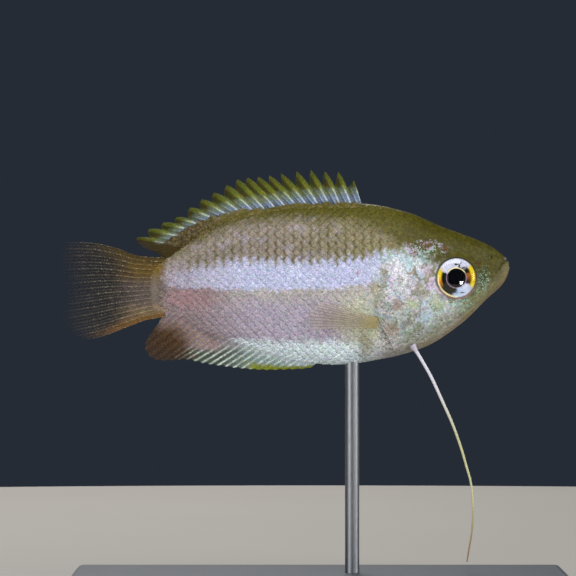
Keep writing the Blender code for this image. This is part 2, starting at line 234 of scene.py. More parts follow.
class GouramiScaleSizes(bpy.types.PropertyGroup):
    """Sizes of the scales, in millimetres."""

    pitch: number("Pitch", "Distance between scales along a row, mm", 0.97, min=0.3, max=3.0)
    row: number("Row pitch", "Distance between rows, mm", 0.5, min=0.2, max=2.0)
    length: number("Length", "Length of a scale with its covered root, mm", 1.42, min=0.3, max=4.0)
    width: number("Width", "Width of a scale, mm", 1.1, min=0.3, max=4.0)
    lift: number("Lift", "Height of a scale's free edge over the skin, mm", 0.032, min=0.01, max=0.2)
    head_share: number("Head scale size", "Size of the head's scales, as a share", 0.62, min=0.2, max=1.0,
                       subtype="FACTOR")


class GouramiEyeSizes(bpy.types.PropertyGroup):
    """Place and sizes of the eyes, in millimetres."""

    x: number("X", "Eye's place along the body, mm", 15.19)
    height: number("Height", "Eye's height over the floor, mm", 36.04)
    radius: number("Radius", "Visible radius of the eye, mm", 2.17)
    pupil: number("Pupil", "Radius of the pupil, mm", 1.04)
    front: number("Front", "Distance of the cornea from the middle plane, mm", 2.7)
    bulge: number("Bulge", "Height of the cornea over its own rim, mm", 0.34)
    tilt: number("Tilt", "Turn of the eye towards the snout", math.radians(10.0), subtype="ANGLE")


class GouramiFinSizes(bpy.types.PropertyGroup):
    """Counts and thicknesses of the fins, in millimetres."""

    spines: whole("Dorsal spines", "Spines of the dorsal fin", 18)
    soft_rays: whole("Soft dorsal rays", "Rays of the dorsal fin's rear lobe", 6)
    anal_rays: whole("Anal rays", "Rays of the anal fin", 25)
    caudal_rays: whole("Caudal rays", "Rays of the tail fin", 15)
    pectoral_rays: whole("Pectoral rays", "Rays of each pectoral fin", 10)
    membrane: number("Membrane", "Thickness of the fins' membrane, mm", 0.05, min=0.02, max=0.3)
    ray: number("Ray", "Thickness of a fin ray at its root, mm", 0.26, min=0.05, max=0.6)


class GouramiStandSizes(bpy.types.PropertyGroup):
    """Sizes of the stand's rod, in millimetres."""

    rod_x: number("Rod x", "Where the rod meets the belly, mm", 3.6)
    rod_radius: number("Rod radius", "Half the rod's thickness, mm", 0.8, min=0.3)
    rod_sunk: number("Rod sunk", "Depth of the rod's ends in base and belly, mm", 0.6, min=0.0)
    base_top: number("Base top", "Height of the base's upper face, mm", 3.0)


class GouramiStageSizes(bpy.types.PropertyGroup):
    """Floor, lights and backdrop."""

    floor_radius: number("Floor radius", "Radius of the pale floor", 0.26, unit="LENGTH")
    backdrop: hue("Backdrop", "Colour behind the model", tint(38, 44, 53))
    floor: hue("Floor colour", "Colour of the floor", tint(188, 182, 172))
    key_power: number("Key light", "Power of the main softbox, W", 0.85)
    fill_power: number("Fill light", "Power of each low softbox, W", 0.47)
    eye_power: number("Eye light", "Power of the small light for the eye, W", 0.009)
    rim_power: number("Rim light", "Power of the rear softbox, W", 0.7)


class Reading:
    """What a node of a material gives, joined to others with plain arithmetic."""

    def __init__(self, desk, socket):
        self.desk = desk
        self.socket = socket

    def math(self, operation, *others):
        if self.socket.type == "VALUE":
            return self.desk.node("ShaderNodeMath", (self, *others), operation=operation)
        return self.desk.node("ShaderNodeVectorMath", (self, *others), operation=operation)

    def __add__(self, other):
        return self.math("ADD", other)

    def __sub__(self, other):
        return self.math("SUBTRACT", other)

    def __mul__(self, other):
        if self.socket.type != "VALUE" and isinstance(other, float):
            return self.desk.node("ShaderNodeVectorMath", {0: self, 3: other}, operation="SCALE")
        return self.math("MULTIPLY", other)

    def __truediv__(self, other):
        return self.math("DIVIDE", other)

    def length(self):
        return self.desk.node("ShaderNodeVectorMath", (self,), 1, operation="LENGTH")

    def parts(self):
        """The three numbers of a place or colour."""
        node = self.desk.node("ShaderNodeSeparateXYZ", (self,)).socket.node
        return [Reading(self.desk, socket) for socket in node.outputs]

    def fade(self, low, high):
        """0 where this is at low, 1 at high, smooth between; low may be the larger."""
        ends = (low, high, 0.0, 1.0) if low < high else (high, low, 1.0, 0.0)
        return self.desk.node("ShaderNodeMapRange", (self, *ends), interpolation_type="SMOOTHSTEP")

    def remap(self, low, high, new_low, new_high):
        return self.desk.node("ShaderNodeMapRange", (self, low, high, new_low, new_high))

    def scaled(self, new_low, new_high):
        """A share of 0 to 1, moved to new ends."""
        return self.remap(0.0, 1.0, new_low, new_high)

    def wave(self, period):
        """0 at whole periods, 1 midway between them."""
        return ((self / period).math("FRACT") - 0.5).math("ABSOLUTE") * 2.0

    def blob(self, centre, radii, soft=0.5):
        """A soft oval patch in side view, 1 in the middle and 0 outside."""
        moved = self - (centre[0], 0.0, centre[1])
        return (moved * (1.0 / radii[0], 0.0, 1.0 / radii[1])).length().fade(1.0, 1.0 - soft)


class NodeDesk:
    """Adds nodes to one material, with place as the Object coordinates in millimetres."""

    def __init__(self, name):
        self.material = bpy.data.materials.new(name)
        self.material.use_nodes = True
        self.tree = self.material.node_tree
        self.shader = self.tree.nodes["Principled BSDF"]
        coordinates = self.tree.nodes.new("ShaderNodeTexCoord")
        self.uv = Reading(self, coordinates.outputs["UV"])
        self.place = Reading(self, coordinates.outputs["Object"]) * (1.0 / MM)
        self.x, self.y, self.z = self.place.parts()

    def node(self, kind, inputs, output=0, **settings):
        """Add a node, feed its inputs and read one of its outputs."""
        node = self.tree.nodes.new(kind)
        for key, value in settings.items():
            setattr(node, key, value)
        for key, value in inputs.items() if isinstance(inputs, dict) else enumerate(inputs):
            self.feed(node.inputs[key], value)
        return Reading(self, node.outputs[output])

    def feed(self, socket, value):
        """Join a socket to a reading, or set it to a number or colour."""
        if isinstance(value, Reading):
            self.tree.links.new(value.socket, socket)
        elif isinstance(value, (tuple, list)) and socket.type == "RGBA" and len(value) == 3:
            socket.default_value = (*value, 1.0)
        else:
            socket.default_value = value

    def mix(self, share, first, second):
        """first where share is 0, second where it is 1."""
        return self.node("ShaderNodeMix", {0: share, 6: first, 7: second}, 2, data_type="RGBA")

    def times(self, first, second):
        """Two colours multiplied."""
        return self.node("ShaderNodeMix", {0: 1.0, 6: first, 7: second}, 2, data_type="RGBA",
                         blend_type="MULTIPLY")

    def shade(self, colour, amount):
        """A colour made lighter or darker by a number."""
        return self.times(colour, self.node("ShaderNodeCombineColor", (amount,) * 3))

    def noise(self, scale, detail=2.0, vector=None, colour=False, roughness=0.5):
        inputs = {"Vector": vector or self.place, "Scale": scale, "Detail": detail, "Roughness": roughness}
        return self.node("ShaderNodeTexNoise", inputs, "Color" if colour else "Fac")

    def drift(self, scale, detail):
        """A random shift of up to half a unit each way, for ragged edges."""
        return self.noise(scale, detail, colour=True) - (0.5, 0.5, 0.5)

    def cells(self, scale, vector=None):
        """Small cells of random colour."""
        return self.node("ShaderNodeTexVoronoi", {"Vector": vector or self.place, "Scale": scale}, "Color")

    def ramp(self, value, stops):
        """Colours at given shares of 0 to 1."""
        made = self.node("ShaderNodeValToRGB", (value,))
        keys = made.socket.node.color_ramp.elements
        for _ in stops[2:]:
            keys.new(0.5)
        for key, (share, colour) in zip(keys, stops):
            key.position = share
            key.color = (*colour, 1.0)
        return made

    def attribute(self, name):
        return self.node("ShaderNodeAttribute", (), "Fac", attribute_name=name)

    def bump(self, height, distance, strength=1.0):
        inputs = {"Height": height, "Distance": distance * MM, "Strength": strength}
        self.feed(self.shader.inputs["Normal"], self.node("ShaderNodeBump", inputs))

    def finish(self, colour, **sockets):
        """Set the shader's own sockets."""
        self.feed(self.shader.inputs["Base Color"], colour)
        for name, value in sockets.items():
            self.feed(self.shader.inputs[name.replace("_", " ")], value)
        return self.material


def deselect():
    """Leave object mode's selection empty."""
    if bpy.context.object and bpy.context.object.mode != "OBJECT":
        bpy.ops.object.mode_set(mode="OBJECT")
    bpy.ops.object.select_all(action="DESELECT")


def put_in_scene(name, data):
    """A new object that holds the data, alone selected and active."""
    deselect()
    made = bpy.data.objects.new(name, data)
    bpy.context.scene.collection.objects.link(made)
    bpy.context.view_layer.objects.active = made
    made.select_set(True)
    return made


def face_outwards(merge=0.0):
    """Merge the active mesh's doubles, where a distance is given, and turn its faces outwards."""
    bpy.ops.object.mode_set(mode="EDIT")
    bpy.ops.mesh.select_all(action="SELECT")
    if merge:
        bpy.ops.mesh.remove_doubles(threshold=merge)
    bpy.ops.mesh.normals_make_consistent(inside=False)
    bpy.ops.object.mode_set(mode="OBJECT")


def place_vertices(made, points):
    """Move a mesh's vertices to points in millimetres."""
    made.data.vertices.foreach_set("co", (np.asarray(points, float) * MM).ravel())
    made.data.update()


def vertex_places(made):
    found = np.zeros(len(made.data.vertices) * 3)
    made.data.vertices.foreach_get("co", found)
    return found.reshape(-1, 3)


def store_attribute(made, name, values):
    """Keep one number for each vertex of a mesh."""
    layer = made.data.attributes.new(name, "FLOAT", "POINT")
    layer.data.foreach_set("value", np.asarray(values, np.float32))


def dress(made, material, *nodes):
    """Give a piece its material, smooth faces and its place on the body, in the stead of CAD nodes."""
    made.data.materials.clear()
    made.data.materials.append(material)
    made.data.shade_smooth()
    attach(made, BODY)
    if nodes:
        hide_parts(*nodes)


def store_levels(made, points):
    """Keep how far each point lies below the back line and above the belly line, in side view."""
    store_attribute(made, "down", back_height(points[:, 0]) - points[:, 2])
    store_attribute(made, "up", points[:, 2] - belly_height(points[:, 0]))


# Colours of the flesh, as they show on a screen
OLIVE_BACK = tint(98, 92, 26)
OLIVE_HEAD = tint(82, 77, 8)
OLIVE_SNOUT = tint(82, 78, 26)
TAN_FLANK = tint(158, 146, 132)
OLIVE_FLANK = tint(150, 140, 104)
COLUMN_DARK = tint(92, 84, 36)
LAVENDER_BAND = tint(206, 211, 242)
TAN_BELOW_BAND = tint(190, 184, 182)
MAUVE_FLANK = tint(188, 178, 196)
MAUVE_REAR = tint(158, 140, 144)
SILVER_BELLY = tint(234, 250, 255)
GREEN_SHOULDER = tint(204, 206, 178)
SILVER_CHEEK = tint(206, 210, 216)
GREY_CHEEK = tint(146, 162, 144)
PINK_CHEEK = tint(214, 192, 220)
OLIVE_CHEEK = tint(146, 138, 104)
GREEN_FACE = tint(118, 124, 84)
CYAN_FLECK = tint(170, 226, 206)
RED_STALK = tint(168, 130, 132)
BROWN_PATCH = tint(166, 142, 124)
ORANGE_SPOT = tint(104, 58, 22)
BROWN_FLAKE = tint(108, 76, 48)
ORANGE_JAW = tint(142, 108, 58)
PINK_SPOT = tint(196, 140, 160)
# painted highlight on the upper lip
LIP_HIGHLIGHT = tint(138, 136, 160)
EYE_RING = tint(72, 68, 36)
EYE_RING_LOW = tint(132, 96, 92)
DARK_EDGE = tint(110, 98, 66)
FOOT_OLIVE = tint(126, 100, 40)
FOOT_MIDDLE = tint(122, 108, 98)
FOOT_TAN = tint(168, 144, 104)
WHITE_CHEEK = tint(244, 244, 252)
LIME_CHEEK = tint(198, 208, 172)
MAUVE_CHEEK = tint(172, 150, 160)
SHOULDER_TAN = tint(172, 166, 128)
BLUE_CHEEK = tint(204, 226, 244)


def tail_foot_colour(desk, z):
    """Colour of the tail fin's foot and of the last of the stalk."""
    lower = desk.mix(z.fade(31.6, 33.6), FOOT_TAN, FOOT_MIDDLE)
    return desk.mix(z.fade(34.9, 36.8), lower, FOOT_OLIVE)


def face_colour(desk, colour, moved, ragged):
    """Patchy silver cheek, green-grey lower face and an olive haze behind the gill cover."""
    cheek = ragged.blob((10.6, 33.8), (6.2, 6.4), 0.4)
    colour = desk.mix(cheek, colour, SILVER_CHEEK)
    lower = ragged.parts()[2].fade(35.2, 32.0) * cheek
    colour = desk.mix(lower, colour, GREY_CHEEK)
    colour = desk.mix(ragged.blob((17.0, 33.6), (4.6, 3.3), 0.6), colour, GREEN_FACE)
    patches = desk.cells(1.25, moved + desk.drift(2.4, 2.0) * 0.9)
    pale, rosy, dull = patches.parts()
    spread = cheek * desk.z.remap(31.0, 36.0, 0.22, 0.8)
    for amount, tone in ((pale.fade(0.55, 0.6), WHITE_CHEEK), (rosy.fade(0.66, 0.72), PINK_CHEEK),
                         (dull.fade(0.7, 0.76), OLIVE_CHEEK), (pale.fade(0.2, 0.14), BLUE_CHEEK)):
        colour = desk.mix(spread * amount, colour, tone)
    gaps = desk.noise(1.7, 4.0, roughness=0.75)
    gaps = gaps.fade(0.44, 0.37) * (cheek * 0.7)
    return desk.mix(gaps, colour, OLIVE_CHEEK)


def face_marks(desk, colour, ragged, spotted, eye):
    """Small marks on the face, among them a painted highlight on the upper lip, painted shade in the front
    nostril and a painted shadow below the pectoral fin's root, and the ring of skin round the eye.
    """
    border = ragged.blob((11.6, 39.3), (3.4, 1.1), 0.5)
    flakes, tints, _ = desk.cells(2.6, ragged).parts()
    for amount, tone in ((flakes.fade(0.66, 0.7), PINK_CHEEK), (flakes.fade(0.3, 0.26), BROWN_FLAKE),
                         (tints.fade(0.84, 0.88), CYAN_FLECK)):
        colour = desk.mix(border * amount * 0.65, colour, tone)
    for place, centre, radii, share, tone in (
            (ragged, (8.5, 37.0), (1.3, 1.7), 0.75, WHITE_CHEEK),
            (ragged, (11.7, 36.9), (1.0, 0.9), 0.6, PINK_CHEEK),
            (ragged, (10.5, 35.7), (1.2, 0.8), 0.5, MAUVE_CHEEK),
            (ragged, (11.4, 34.6), (0.7, 1.0), 0.6, OLIVE_CHEEK),
            (ragged, (13.2, 33.3), (1.3, 0.9), 0.7, LIME_CHEEK),
            (ragged, (10.3, 33.1), (1.0, 1.1), 0.7, LIME_CHEEK),
            (ragged, (11.9, 31.7), (0.9, 1.2), 0.7, BLUE_CHEEK),
            (ragged, (8.5, 33.0), (1.1, 1.3), 0.8, BROWN_PATCH),
            (ragged, (7.9, 30.3), (1.3, 1.3), 0.7, BROWN_PATCH),
            (ragged, (6.4, 34.2), (1.2, 2.2), 0.65, SHOULDER_TAN),
            (ragged, (7.1, 36.2), (0.5, 2.4), 0.5, OLIVE_CHEEK),
            # painted shadow: an olive streak on the belly below the pectoral fin's root
            (ragged, (5.0, 28.6), (1.4, 2.3), 0.65, OLIVE_CHEEK),
            (spotted, (14.0, 39.3), (0.5, 0.4), 0.8, ORANGE_SPOT),
            # reddish-brown ring of the front nostril, which also serves as painted shade in the nostril's
            # hollow
            (spotted, (17.75, 37.65), (0.4, 0.34), 0.6, ORANGE_SPOT),
            (spotted, (4.15, 36.6), (0.24, 0.48), 0.8, PINK_SPOT),
            # painted highlight: a pale bead on the upper lip
            (spotted, (20.8, 38.15), (0.3, 0.26), 0.7, LIP_HIGHLIGHT)):
        colour = desk.mix(place.blob(centre, radii, 0.8) * share, colour, tone)
    from_eye = ((desk.place - (eye.x, 0.0, eye.height)) * (1.0, 0.0, 1.0)).length()
    ring = desk.mix(desk.z.fade(eye.height - 0.4, eye.height - 1.4), EYE_RING, EYE_RING_LOW)
    around = from_eye.fade(eye.radius + 0.34, eye.radius + 0.14)
    return desk.mix(around * 0.85, colour, ring)


def flesh_colour(desk, eye):
    """Markings of the body, the same for skin and scales, with a painted highlight on the lip and painted
    shade at the nostril and below the pectoral fin.
    """
    coarse = desk.drift(0.9, 3.0)
    fine = desk.drift(3.6, 2.0)
    moved = desk.place + coarse * 1.5
    ragged = moved + fine * 1.4
    spotted = desk.place + fine * 0.6
    x, _, z = ragged.parts()
    shift = z - desk.z
    down = desk.attribute("down") - shift
    up = desk.attribute("up") + shift
    mottle = desk.noise(1.1, 3.0, roughness=0.65)
    column = (desk.x + desk.z.wave(1.0) * 0.2).wave(0.97)

    colour = desk.mix(z.fade(32.4, 34.4), MAUVE_FLANK, TAN_BELOW_BAND)
    colour = desk.mix(x.fade(-6.0, -14.5), colour, MAUVE_REAR)
    belly = z.fade(29.5, 28.4) * x.fade(-12.0, -8.5) * x.fade(3.0, 9.0).scaled(1.0, 0.25)
    colour = desk.mix(belly, colour, SILVER_BELLY)
    colour = desk.mix(ragged.blob((5.2, 31.4), (5.2, 4.6), 0.8), colour, GREEN_SHOULDER)
    red = ragged.blob((-14.6, 33.9), (4.8, 1.9), 0.9) * mottle.remap(0.35, 0.6, 0.4, 0.95)
    colour = desk.mix(red, colour, RED_STALK)
    level = z - desk.x.remap(1.0, 7.0, 0.0, 0.8) - desk.x.remap(-17.0, -12.0, 0.35, 0.0)
    band = level.fade(34.5, 35.0) * x.fade(11.5, 7.0) * desk.x.remap(-18.0, -8.0, 0.22, 1.0)
    colour = desk.mix(band, colour, LAVENDER_BAND)
    fringe = level + column * 0.85 + desk.x.remap(-17.0, -9.0, 1.3, 0.0)
    upper = desk.mix(desk.x.fade(-7.0, 5.0), TAN_FLANK, OLIVE_FLANK)
    colour = desk.mix(fringe.fade(37.6, 39.1), colour, upper)
    streak = (column.fade(0.35, 0.95) * fringe.fade(38.0, 39.3) * mottle.fade(0.3, 0.55)
              * desk.x.remap(6.0, 10.0, 0.72, 0.2) * down.fade(1.8, 4.2).scaled(0.35, 1.0))
    colour = desk.mix(streak, colour, COLUMN_DARK)
    rosy = (desk.noise(0.8, 3.0).fade(0.5, 0.62) * fringe.fade(38.2, 39.7)
            * desk.x.remap(-2.0, 5.0, 0.4, 0.12))
    colour = desk.mix(rosy, colour, MAUVE_FLANK)
    colour = face_colour(desk, colour, moved, ragged)

    olive_depth = desk.x.remap(-17.0, 4.0, 0.7, 2.3) + desk.x.fade(3.0, 11.5) * 2.5
    olive = (down - olive_depth).fade(1.1, -1.1)
    back = desk.mix(desk.x.fade(6.0, 12.0), OLIVE_BACK, OLIVE_HEAD)
    colour = desk.mix(olive, colour, back)
    colour = desk.mix(ragged.blob((20.2, 37.2), (4.4, 4.2), 0.5), colour, OLIVE_SNOUT)

    fleck = desk.noise(6.8, 2.0, roughness=0.7).fade(0.53, 0.6)
    flecked = ragged.blob((15.0, 33.0), (3.6, 1.2)).math("MAXIMUM", ragged.blob((18.2, 35.6), (1.1, 1.9)))
    flecked = flecked.math("MAXIMUM", ragged.blob((9.6, 38.3), (3.6, 1.5)))
    colour = desk.mix(fleck * flecked, colour, CYAN_FLECK)
    stain = desk.noise(2.2, 3.0, roughness=0.65).remap(0.36, 0.64, 0.7, 1.28)
    colour = desk.mix(desk.x.fade(5.0, 9.0), colour, desk.shade(colour, stain))
    colour = face_marks(desk, colour, ragged, spotted, eye)
    under = up.fade(2.8, 0.3) * desk.x.fade(4.0, 9.0)
    colour = desk.mix(under * 0.7, colour, OLIVE_CHEEK)
    jaw = up.fade(0.7, 0.15) * desk.x.fade(9.0, 13.0) * mottle.remap(0.35, 0.6, 0.4, 0.7)
    colour = desk.mix(jaw, colour, ORANGE_JAW)
    return desk.mix(x.fade(-16.6, -18.2), colour, tail_foot_colour(desk, z))


def speckled(desk, colour, strength, painted_glints=0.0):
    """A colour with the fine pastel speckle of the living skin, and painted glints: a few cells brightened as
    small painted highlights.
    """
    cells = desk.cells(8.0)
    bright, painted_glint_channel, _ = cells.parts()
    tinted = cells * (0.36 * strength) + (1.0 - 0.18 * strength,) * 3
    # painted glints: cells with a high green value are brightened as small painted highlights
    level = bright.scaled(1.0 - 0.32 * strength, 1.0 + 0.32 * strength) + painted_glint_channel.fade(0.88, 0.94) * painted_glints
    spread = 0.42 * strength
    light = desk.noise(9.0, 3.0, roughness=0.65).remap(0.3, 0.7, 1.0 - spread, 1.0 + spread)
    return desk.shade(desk.times(colour, tinted), level * light)


def membrane_finish(desk, colour, glitter, **sockets):
    """Finish the membrane of a fin with its glitter and a fine relief."""
    colour = speckled(desk, colour, glitter)
    desk.bump(desk.noise(7.0, 2.0), 0.02, 0.5)
    return desk.finish(colour, **sockets)


def living_colour(desk, eye):
    """Markings with their speckle and painted glints, calmer on the head."""
    plain = flesh_colour(desk, eye)
    calm = desk.x.fade(8.0, 12.0) * desk.z.remap(32.0, 37.0, 0.1, 0.4)
    return desk.mix(calm, speckled(desk, plain, 0.66, 0.25), plain)


def skin_material(eye):
    desk = NodeDesk("living_skin")
    colour = living_colour(desk, eye)
    desk.bump(desk.noise(9.0, 2.0), 0.03, 0.6)
    return desk.finish(colour, Roughness=0.5, Specular_IOR_Level=0.25, Coat_Weight=0.06, Coat_Roughness=0.3)


def scale_material(eye):
    desk = NodeDesk("living_scales")
    colour = living_colour(desk, eye)
    upper = desk.z.fade(36.8, 38.8) * desk.attribute("down").fade(1.0, 4.0)
    rim = desk.attribute("rim") * upper.scaled(0.06, 0.3) * desk.x.remap(4.0, 10.0, 1.0, 0.0)
    colour = desk.mix(rim, colour, desk.times(colour, DARK_EDGE))
    colour = desk.shade(colour, desk.attribute("tone").scaled(0.92, 1.08))
    desk.bump(desk.noise(8.0, 2.0), 0.025, 0.6)
    return desk.finish(colour, Roughness=0.45, Specular_IOR_Level=0.25, Coat_Weight=0.08, Coat_Roughness=0.25)


# Where the rows of scales start on the tail stalk, and where they end on the trunk and head, in millimetres
LAST_SCALE_X = -16.7
TRUNK_SCALES_END = 12.0
HEAD_SCALES_END = 18.8

# Features of the face in side view, in millimetres; a fold is its height, place and width
MOUTH = [(21.6, 38.35), (20.9, 38.0), (20.35, 37.55), (20.1, 37.0)]
JAW_CREASE = [(20.1, 37.0), (19.5, 35.9), (18.6, 34.3), (17.7, 33.0)]
THROAT_CREASE = [(17.2, 32.9), (15.4, 31.5), (13.2, 30.1), (11.2, 29.0)]
NOSTRILS = [(17.75, 37.65, 0.17), (19.2, 38.35, 0.11)]
CHEEK_PLATE = (8.6, 33.0, 3.7, 4.3)
CHEEK_FOLDS = ((-0.07, 1.0, 0.035), (0.04, 0.92, 0.06), (-0.05, 0.66, 0.03))
SOCKET_DEPTH = 0.8
SOCKET_FOLDS = ((0.12, 0.2, 0.18), (-0.05, 0.62, 0.16))
NOSTRIL_DEPTH = 0.22
NOSTRIL_RIM = 0.07
LIP_HEIGHT = 0.07
CREASES = ((JAW_CREASE, 0.06), (THROAT_CREASE, 0.05))
CREASE_WIDTH = 0.13


def skin_relief(x, z, sides, ahead_of_gill, eye, sizes):
    """Height of the skin's relief over the smooth body, in millimetres."""
    opening = smooth_step(z, GILL_TOP + 0.5, GILL_TOP - 0.6)
    edge = np.where(ahead_of_gill >= 0.0, bump_at(ahead_of_gill, 0.7), -bump_at(ahead_of_gill, 0.8))
    relief = sizes.gill_step * opening * edge * smooth_step(z - belly_height(x), 0.1, 1.6)
    centre_x, centre_z, radius_x, radius_z = CHEEK_PLATE
    plate = np.hypot((x - centre_x) / radius_x, (z - centre_z) / radius_z)
    ahead = smooth_step(x, 7.5, 9.5) * smooth_step(z, 38.0, 36.5)
    for height, place, width in CHEEK_FOLDS:
        relief += height * ahead * bump_at(plate - place, width)

    from_eye = np.hypot(x - eye.x, z - eye.height)
    relief -= SOCKET_DEPTH * smooth_step(from_eye, eye.radius + 0.06, eye.radius - 0.2) * sides
    for height, place, width in SOCKET_FOLDS:
        relief += height * bump_at(from_eye - eye.radius - place, width) * sides

    for nostril_x, nostril_z, radius in NOSTRILS:
        reach = np.hypot(x - nostril_x, z - nostril_z)
        relief -= NOSTRIL_DEPTH * bump_at(reach, radius) * sides
        relief += NOSTRIL_RIM * bump_at(reach - 1.9 * radius, 0.5 * radius) * sides
    mouth = route_distance(x, z, MOUTH)
    relief -= sizes.mouth_depth * bump_at(mouth, 0.09)
    relief += LIP_HEIGHT * bump_at(mouth - 0.3, 0.16)
    for route, depth in CREASES:
        relief -= depth * bump_at(route_distance(x, z, route), CREASE_WIDTH)
    return relief


def skin_stations(count):
    """Nominal x and sweep of each ring, tail to snout, with two close rings at the gill edge."""
    behind = int(count * 0.44)
    rear = np.linspace(TAIL_X, GILL_X - 0.04, behind)
    front = GILL_X + (NOSE_X - GILL_X) * np.sin(np.linspace(0.0, math.pi / 2.0, count - behind + 1))
    rear_sweep = np.clip((rear - STALK_X) / (GILL_X - STALK_X), 0.0, 1.0) ** 3
    front_sweep = (1.0 - np.linspace(0.0, 1.0, count - behind + 1)) ** 1.5
    return np.concatenate([rear, front]), np.concatenate([rear_sweep, front_sweep])


class GOURAMI_OT_skin(bpy.types.Operator):
    """Make the one skin of head, trunk and tail stalk from a ball, with the relief of the face"""

    bl_idname = "gourami.skin"
    bl_label = "Skin"

    def execute(self, context):
        scene = context.scene
        sizes = scene.gourami_body
        deselect()
        bpy.ops.mesh.primitive_uv_sphere_add(segments=sizes.around, ring_count=sizes.rings, radius=1.0)
        skin = context.object
        skin.name = "fish_skin"
        skin.data.uv_layers[0].name = "OFBake"
        ball = vertex_places(skin)
        nominal, sweep = skin_stations(sizes.rings)
        station = np.rint(np.arccos(np.clip(ball[:, 2], -1.0, 1.0)) / math.pi * sizes.rings).astype(int)
        angle = np.arctan2(ball[:, 1], ball[:, 0])
        start = nominal[station]
        height = body_surface(start, angle, sizes.inset)[:, 2]
        x = np.minimum(start + sweep[station] * gill_sweep(height), NOSE_X)
        points = body_surface(x, angle, sizes.inset)
        normal = surface_normal(x, angle, sizes.inset)
        sides = smooth_step(np.abs(np.sin(angle)), 0.15, 0.5)
        relief = skin_relief(x, points[:, 2], sides, start - GILL_X, scene.gourami_eye, sizes)
        points += normal * relief[:, None]
        points[station == 0] = (TAIL_X, 0.0, (BACK_LINE[0][1] + BELLY_LINE[0][1]) / 2.0)
        points[station == sizes.rings] = (NOSE_X, 0.0, NOSE_HEIGHT)
        place_vertices(skin, points)
        store_levels(skin, points)
        face_outwards()
        dress(skin, skin_material(scene.gourami_eye), "head", "lower_jaw", "gill_cover_right",
              "gill_cover_left", "trunk", "tail_stalk")
        return {"FINISHED"}


# One scale: how it narrows, how far its free edge bows, and how scales differ, in shares and millimetres
SCALE_ROUNDNESS = 2.4
SCALE_ROOT_WIDTH = 0.62
SCALE_WIDENING = 1.2
SCALE_BOW = 0.06
SCALE_LEAST_WIDTH = 0.28
SCALE_THICKNESS = 0.035
SCALE_DOME = 0.018
SCALE_TURN = 0.04
SCALE_STRETCH = (0.95, 1.06)
SCALE_UNEVEN = 0.004
SCALE_PATCH = 0.005
BODY_SCALE_GRID = ((0.0, 0.34, 0.58, 0.78, 0.92, 1.0), (-1.0, -0.55, 0.0, 0.55, 1.0))
HEAD_SCALE_GRID = ((0.0, 0.5, 0.82, 1.0), (-1.0, 0.0, 1.0))


def scale_outline(lengthwise, across):
    """Grid of one scale: share from root to free edge, and share across, with a rounded free edge."""
    rows = []
    for along in lengthwise:
        reach = 1.0 if along < 0.5 else math.sqrt(max(1.0 - ((along - 0.5) / 0.5) ** SCALE_ROUNDNESS, 0.0))
        root = min(1.0, SCALE_ROOT_WIDTH + SCALE_WIDENING * along)
        for side in across:
            bow = SCALE_BOW * (1.0 - side * side) * (1.0 if along > 0.45 else 0.0)
            rows.append((min(along, 0.97) + bow, side * max(reach * root, SCALE_LEAST_WIDTH)))
    return np.array(rows)


def scale_faces(rows, columns):
    """Faces of one closed scale: its top grid, a skirt round the edge and one face below."""
    count = rows * columns
    rim = list(range(columns))
    rim += [row * columns + columns - 1 for row in range(1, rows)]
    rim += [(rows - 1) * columns + column for column in range(columns - 2, -1, -1)]
    rim += [row * columns for row in range(rows - 2, 0, -1)]
    faces = []
    for row in range(rows - 1):
        for column in range(columns - 1):
            corner = row * columns + column
            faces.append((corner, corner + columns, corner + columns + 1, corner + 1))
    below = {top: count + index for index, top in enumerate(rim)}
    for here, after in zip(rim, rim[1:] + rim[:1]):
        faces.append((here, after, below[after], below[here]))
    faces.append(tuple(below[top] for top in reversed(rim)))
    return faces, rim


def arc_angles(x, offsets, inset):
    """Angles on the right side at distances from mid-height, and which of them lie inside its ends."""
    angles = np.linspace(0.02, math.pi - 0.02, 400)
    ring = body_surface(np.full_like(angles, x), angles, inset)
    lengths = np.concatenate([[0.0], np.cumsum(np.linalg.norm(np.diff(ring, axis=0), axis=1))])
    lengths -= np.interp(math.pi / 2.0, angles, lengths)
    inside = (offsets > lengths[0] + 0.1) & (offsets < lengths[-1] - 0.1)
    return np.interp(offsets, lengths, angles), inside


def lay_scales(pitch, row, first_x, last_x, wanted, inset):
    """Roots of the scales on the right side, as x and angle, in staggered rows."""
    roots = []
    rows = np.arange(-50, 51)
    for column in range(int((last_x - first_x) / pitch) + 2):
        for stagger in (0, 1):
            x = first_x + (column + 0.5 * stagger) * pitch
            if x > last_x:
                break
            chosen = rows[(rows % 2) == stagger] * row
            angles, inside = arc_angles(x, chosen, inset)
            heights = body_surface(np.full_like(angles, x), angles, inset)[:, 2]
            keep = inside & wanted(np.full_like(angles, x), heights)
            roots.extend((x, angle) for angle in angles[keep])
    return np.array(roots)


def scale_ground(x, angles, scene):
    """The skin with its relief at scale points, and its outward directions."""
    inset = scene.gourami_body.inset
    surface = body_surface(x, angles, inset)
    normal = surface_normal(x, angles, inset)
    ahead = x - GILL_X - gill_sweep(surface[..., 2])
    sides = smooth_step(np.abs(np.sin(angles)), 0.15, 0.5)
    relief = skin_relief(x, surface[..., 2], sides, ahead, scene.gourami_eye, scene.gourami_body)
    return surface + normal * relief[..., None], normal


def unwrap_scales(data, outline, rim, forward, angle, sign):
    """Give each scale a small patch of the UV map, at its own place on the body."""
    along = (outline[:, 0] - 0.5) * SCALE_PATCH
    side = outline[:, 1] * 0.5 * SCALE_PATCH
    start_u = 0.02 + 0.96 * (forward - TAIL_X) / (NOSE_X - TAIL_X)
    start_v = angle / (2.0 * math.pi) if sign < 0.0 else 1.0 - angle / (2.0 * math.pi)
    u = start_u - np.concatenate([along, along[rim]])[None, :]
    v = 0.005 + 0.99 * start_v + np.concatenate([side, side[rim]])[None, :]
    uv = np.stack([u.ravel(), v.ravel()], -1)
    layer = data.uv_layers.new(name="OFBake")
    loops = np.zeros(len(data.loops), np.int32)
    data.loops.foreach_get("vertex_index", loops)
    layer.data.foreach_set("uv", uv[loops].ravel().astype(np.float32))


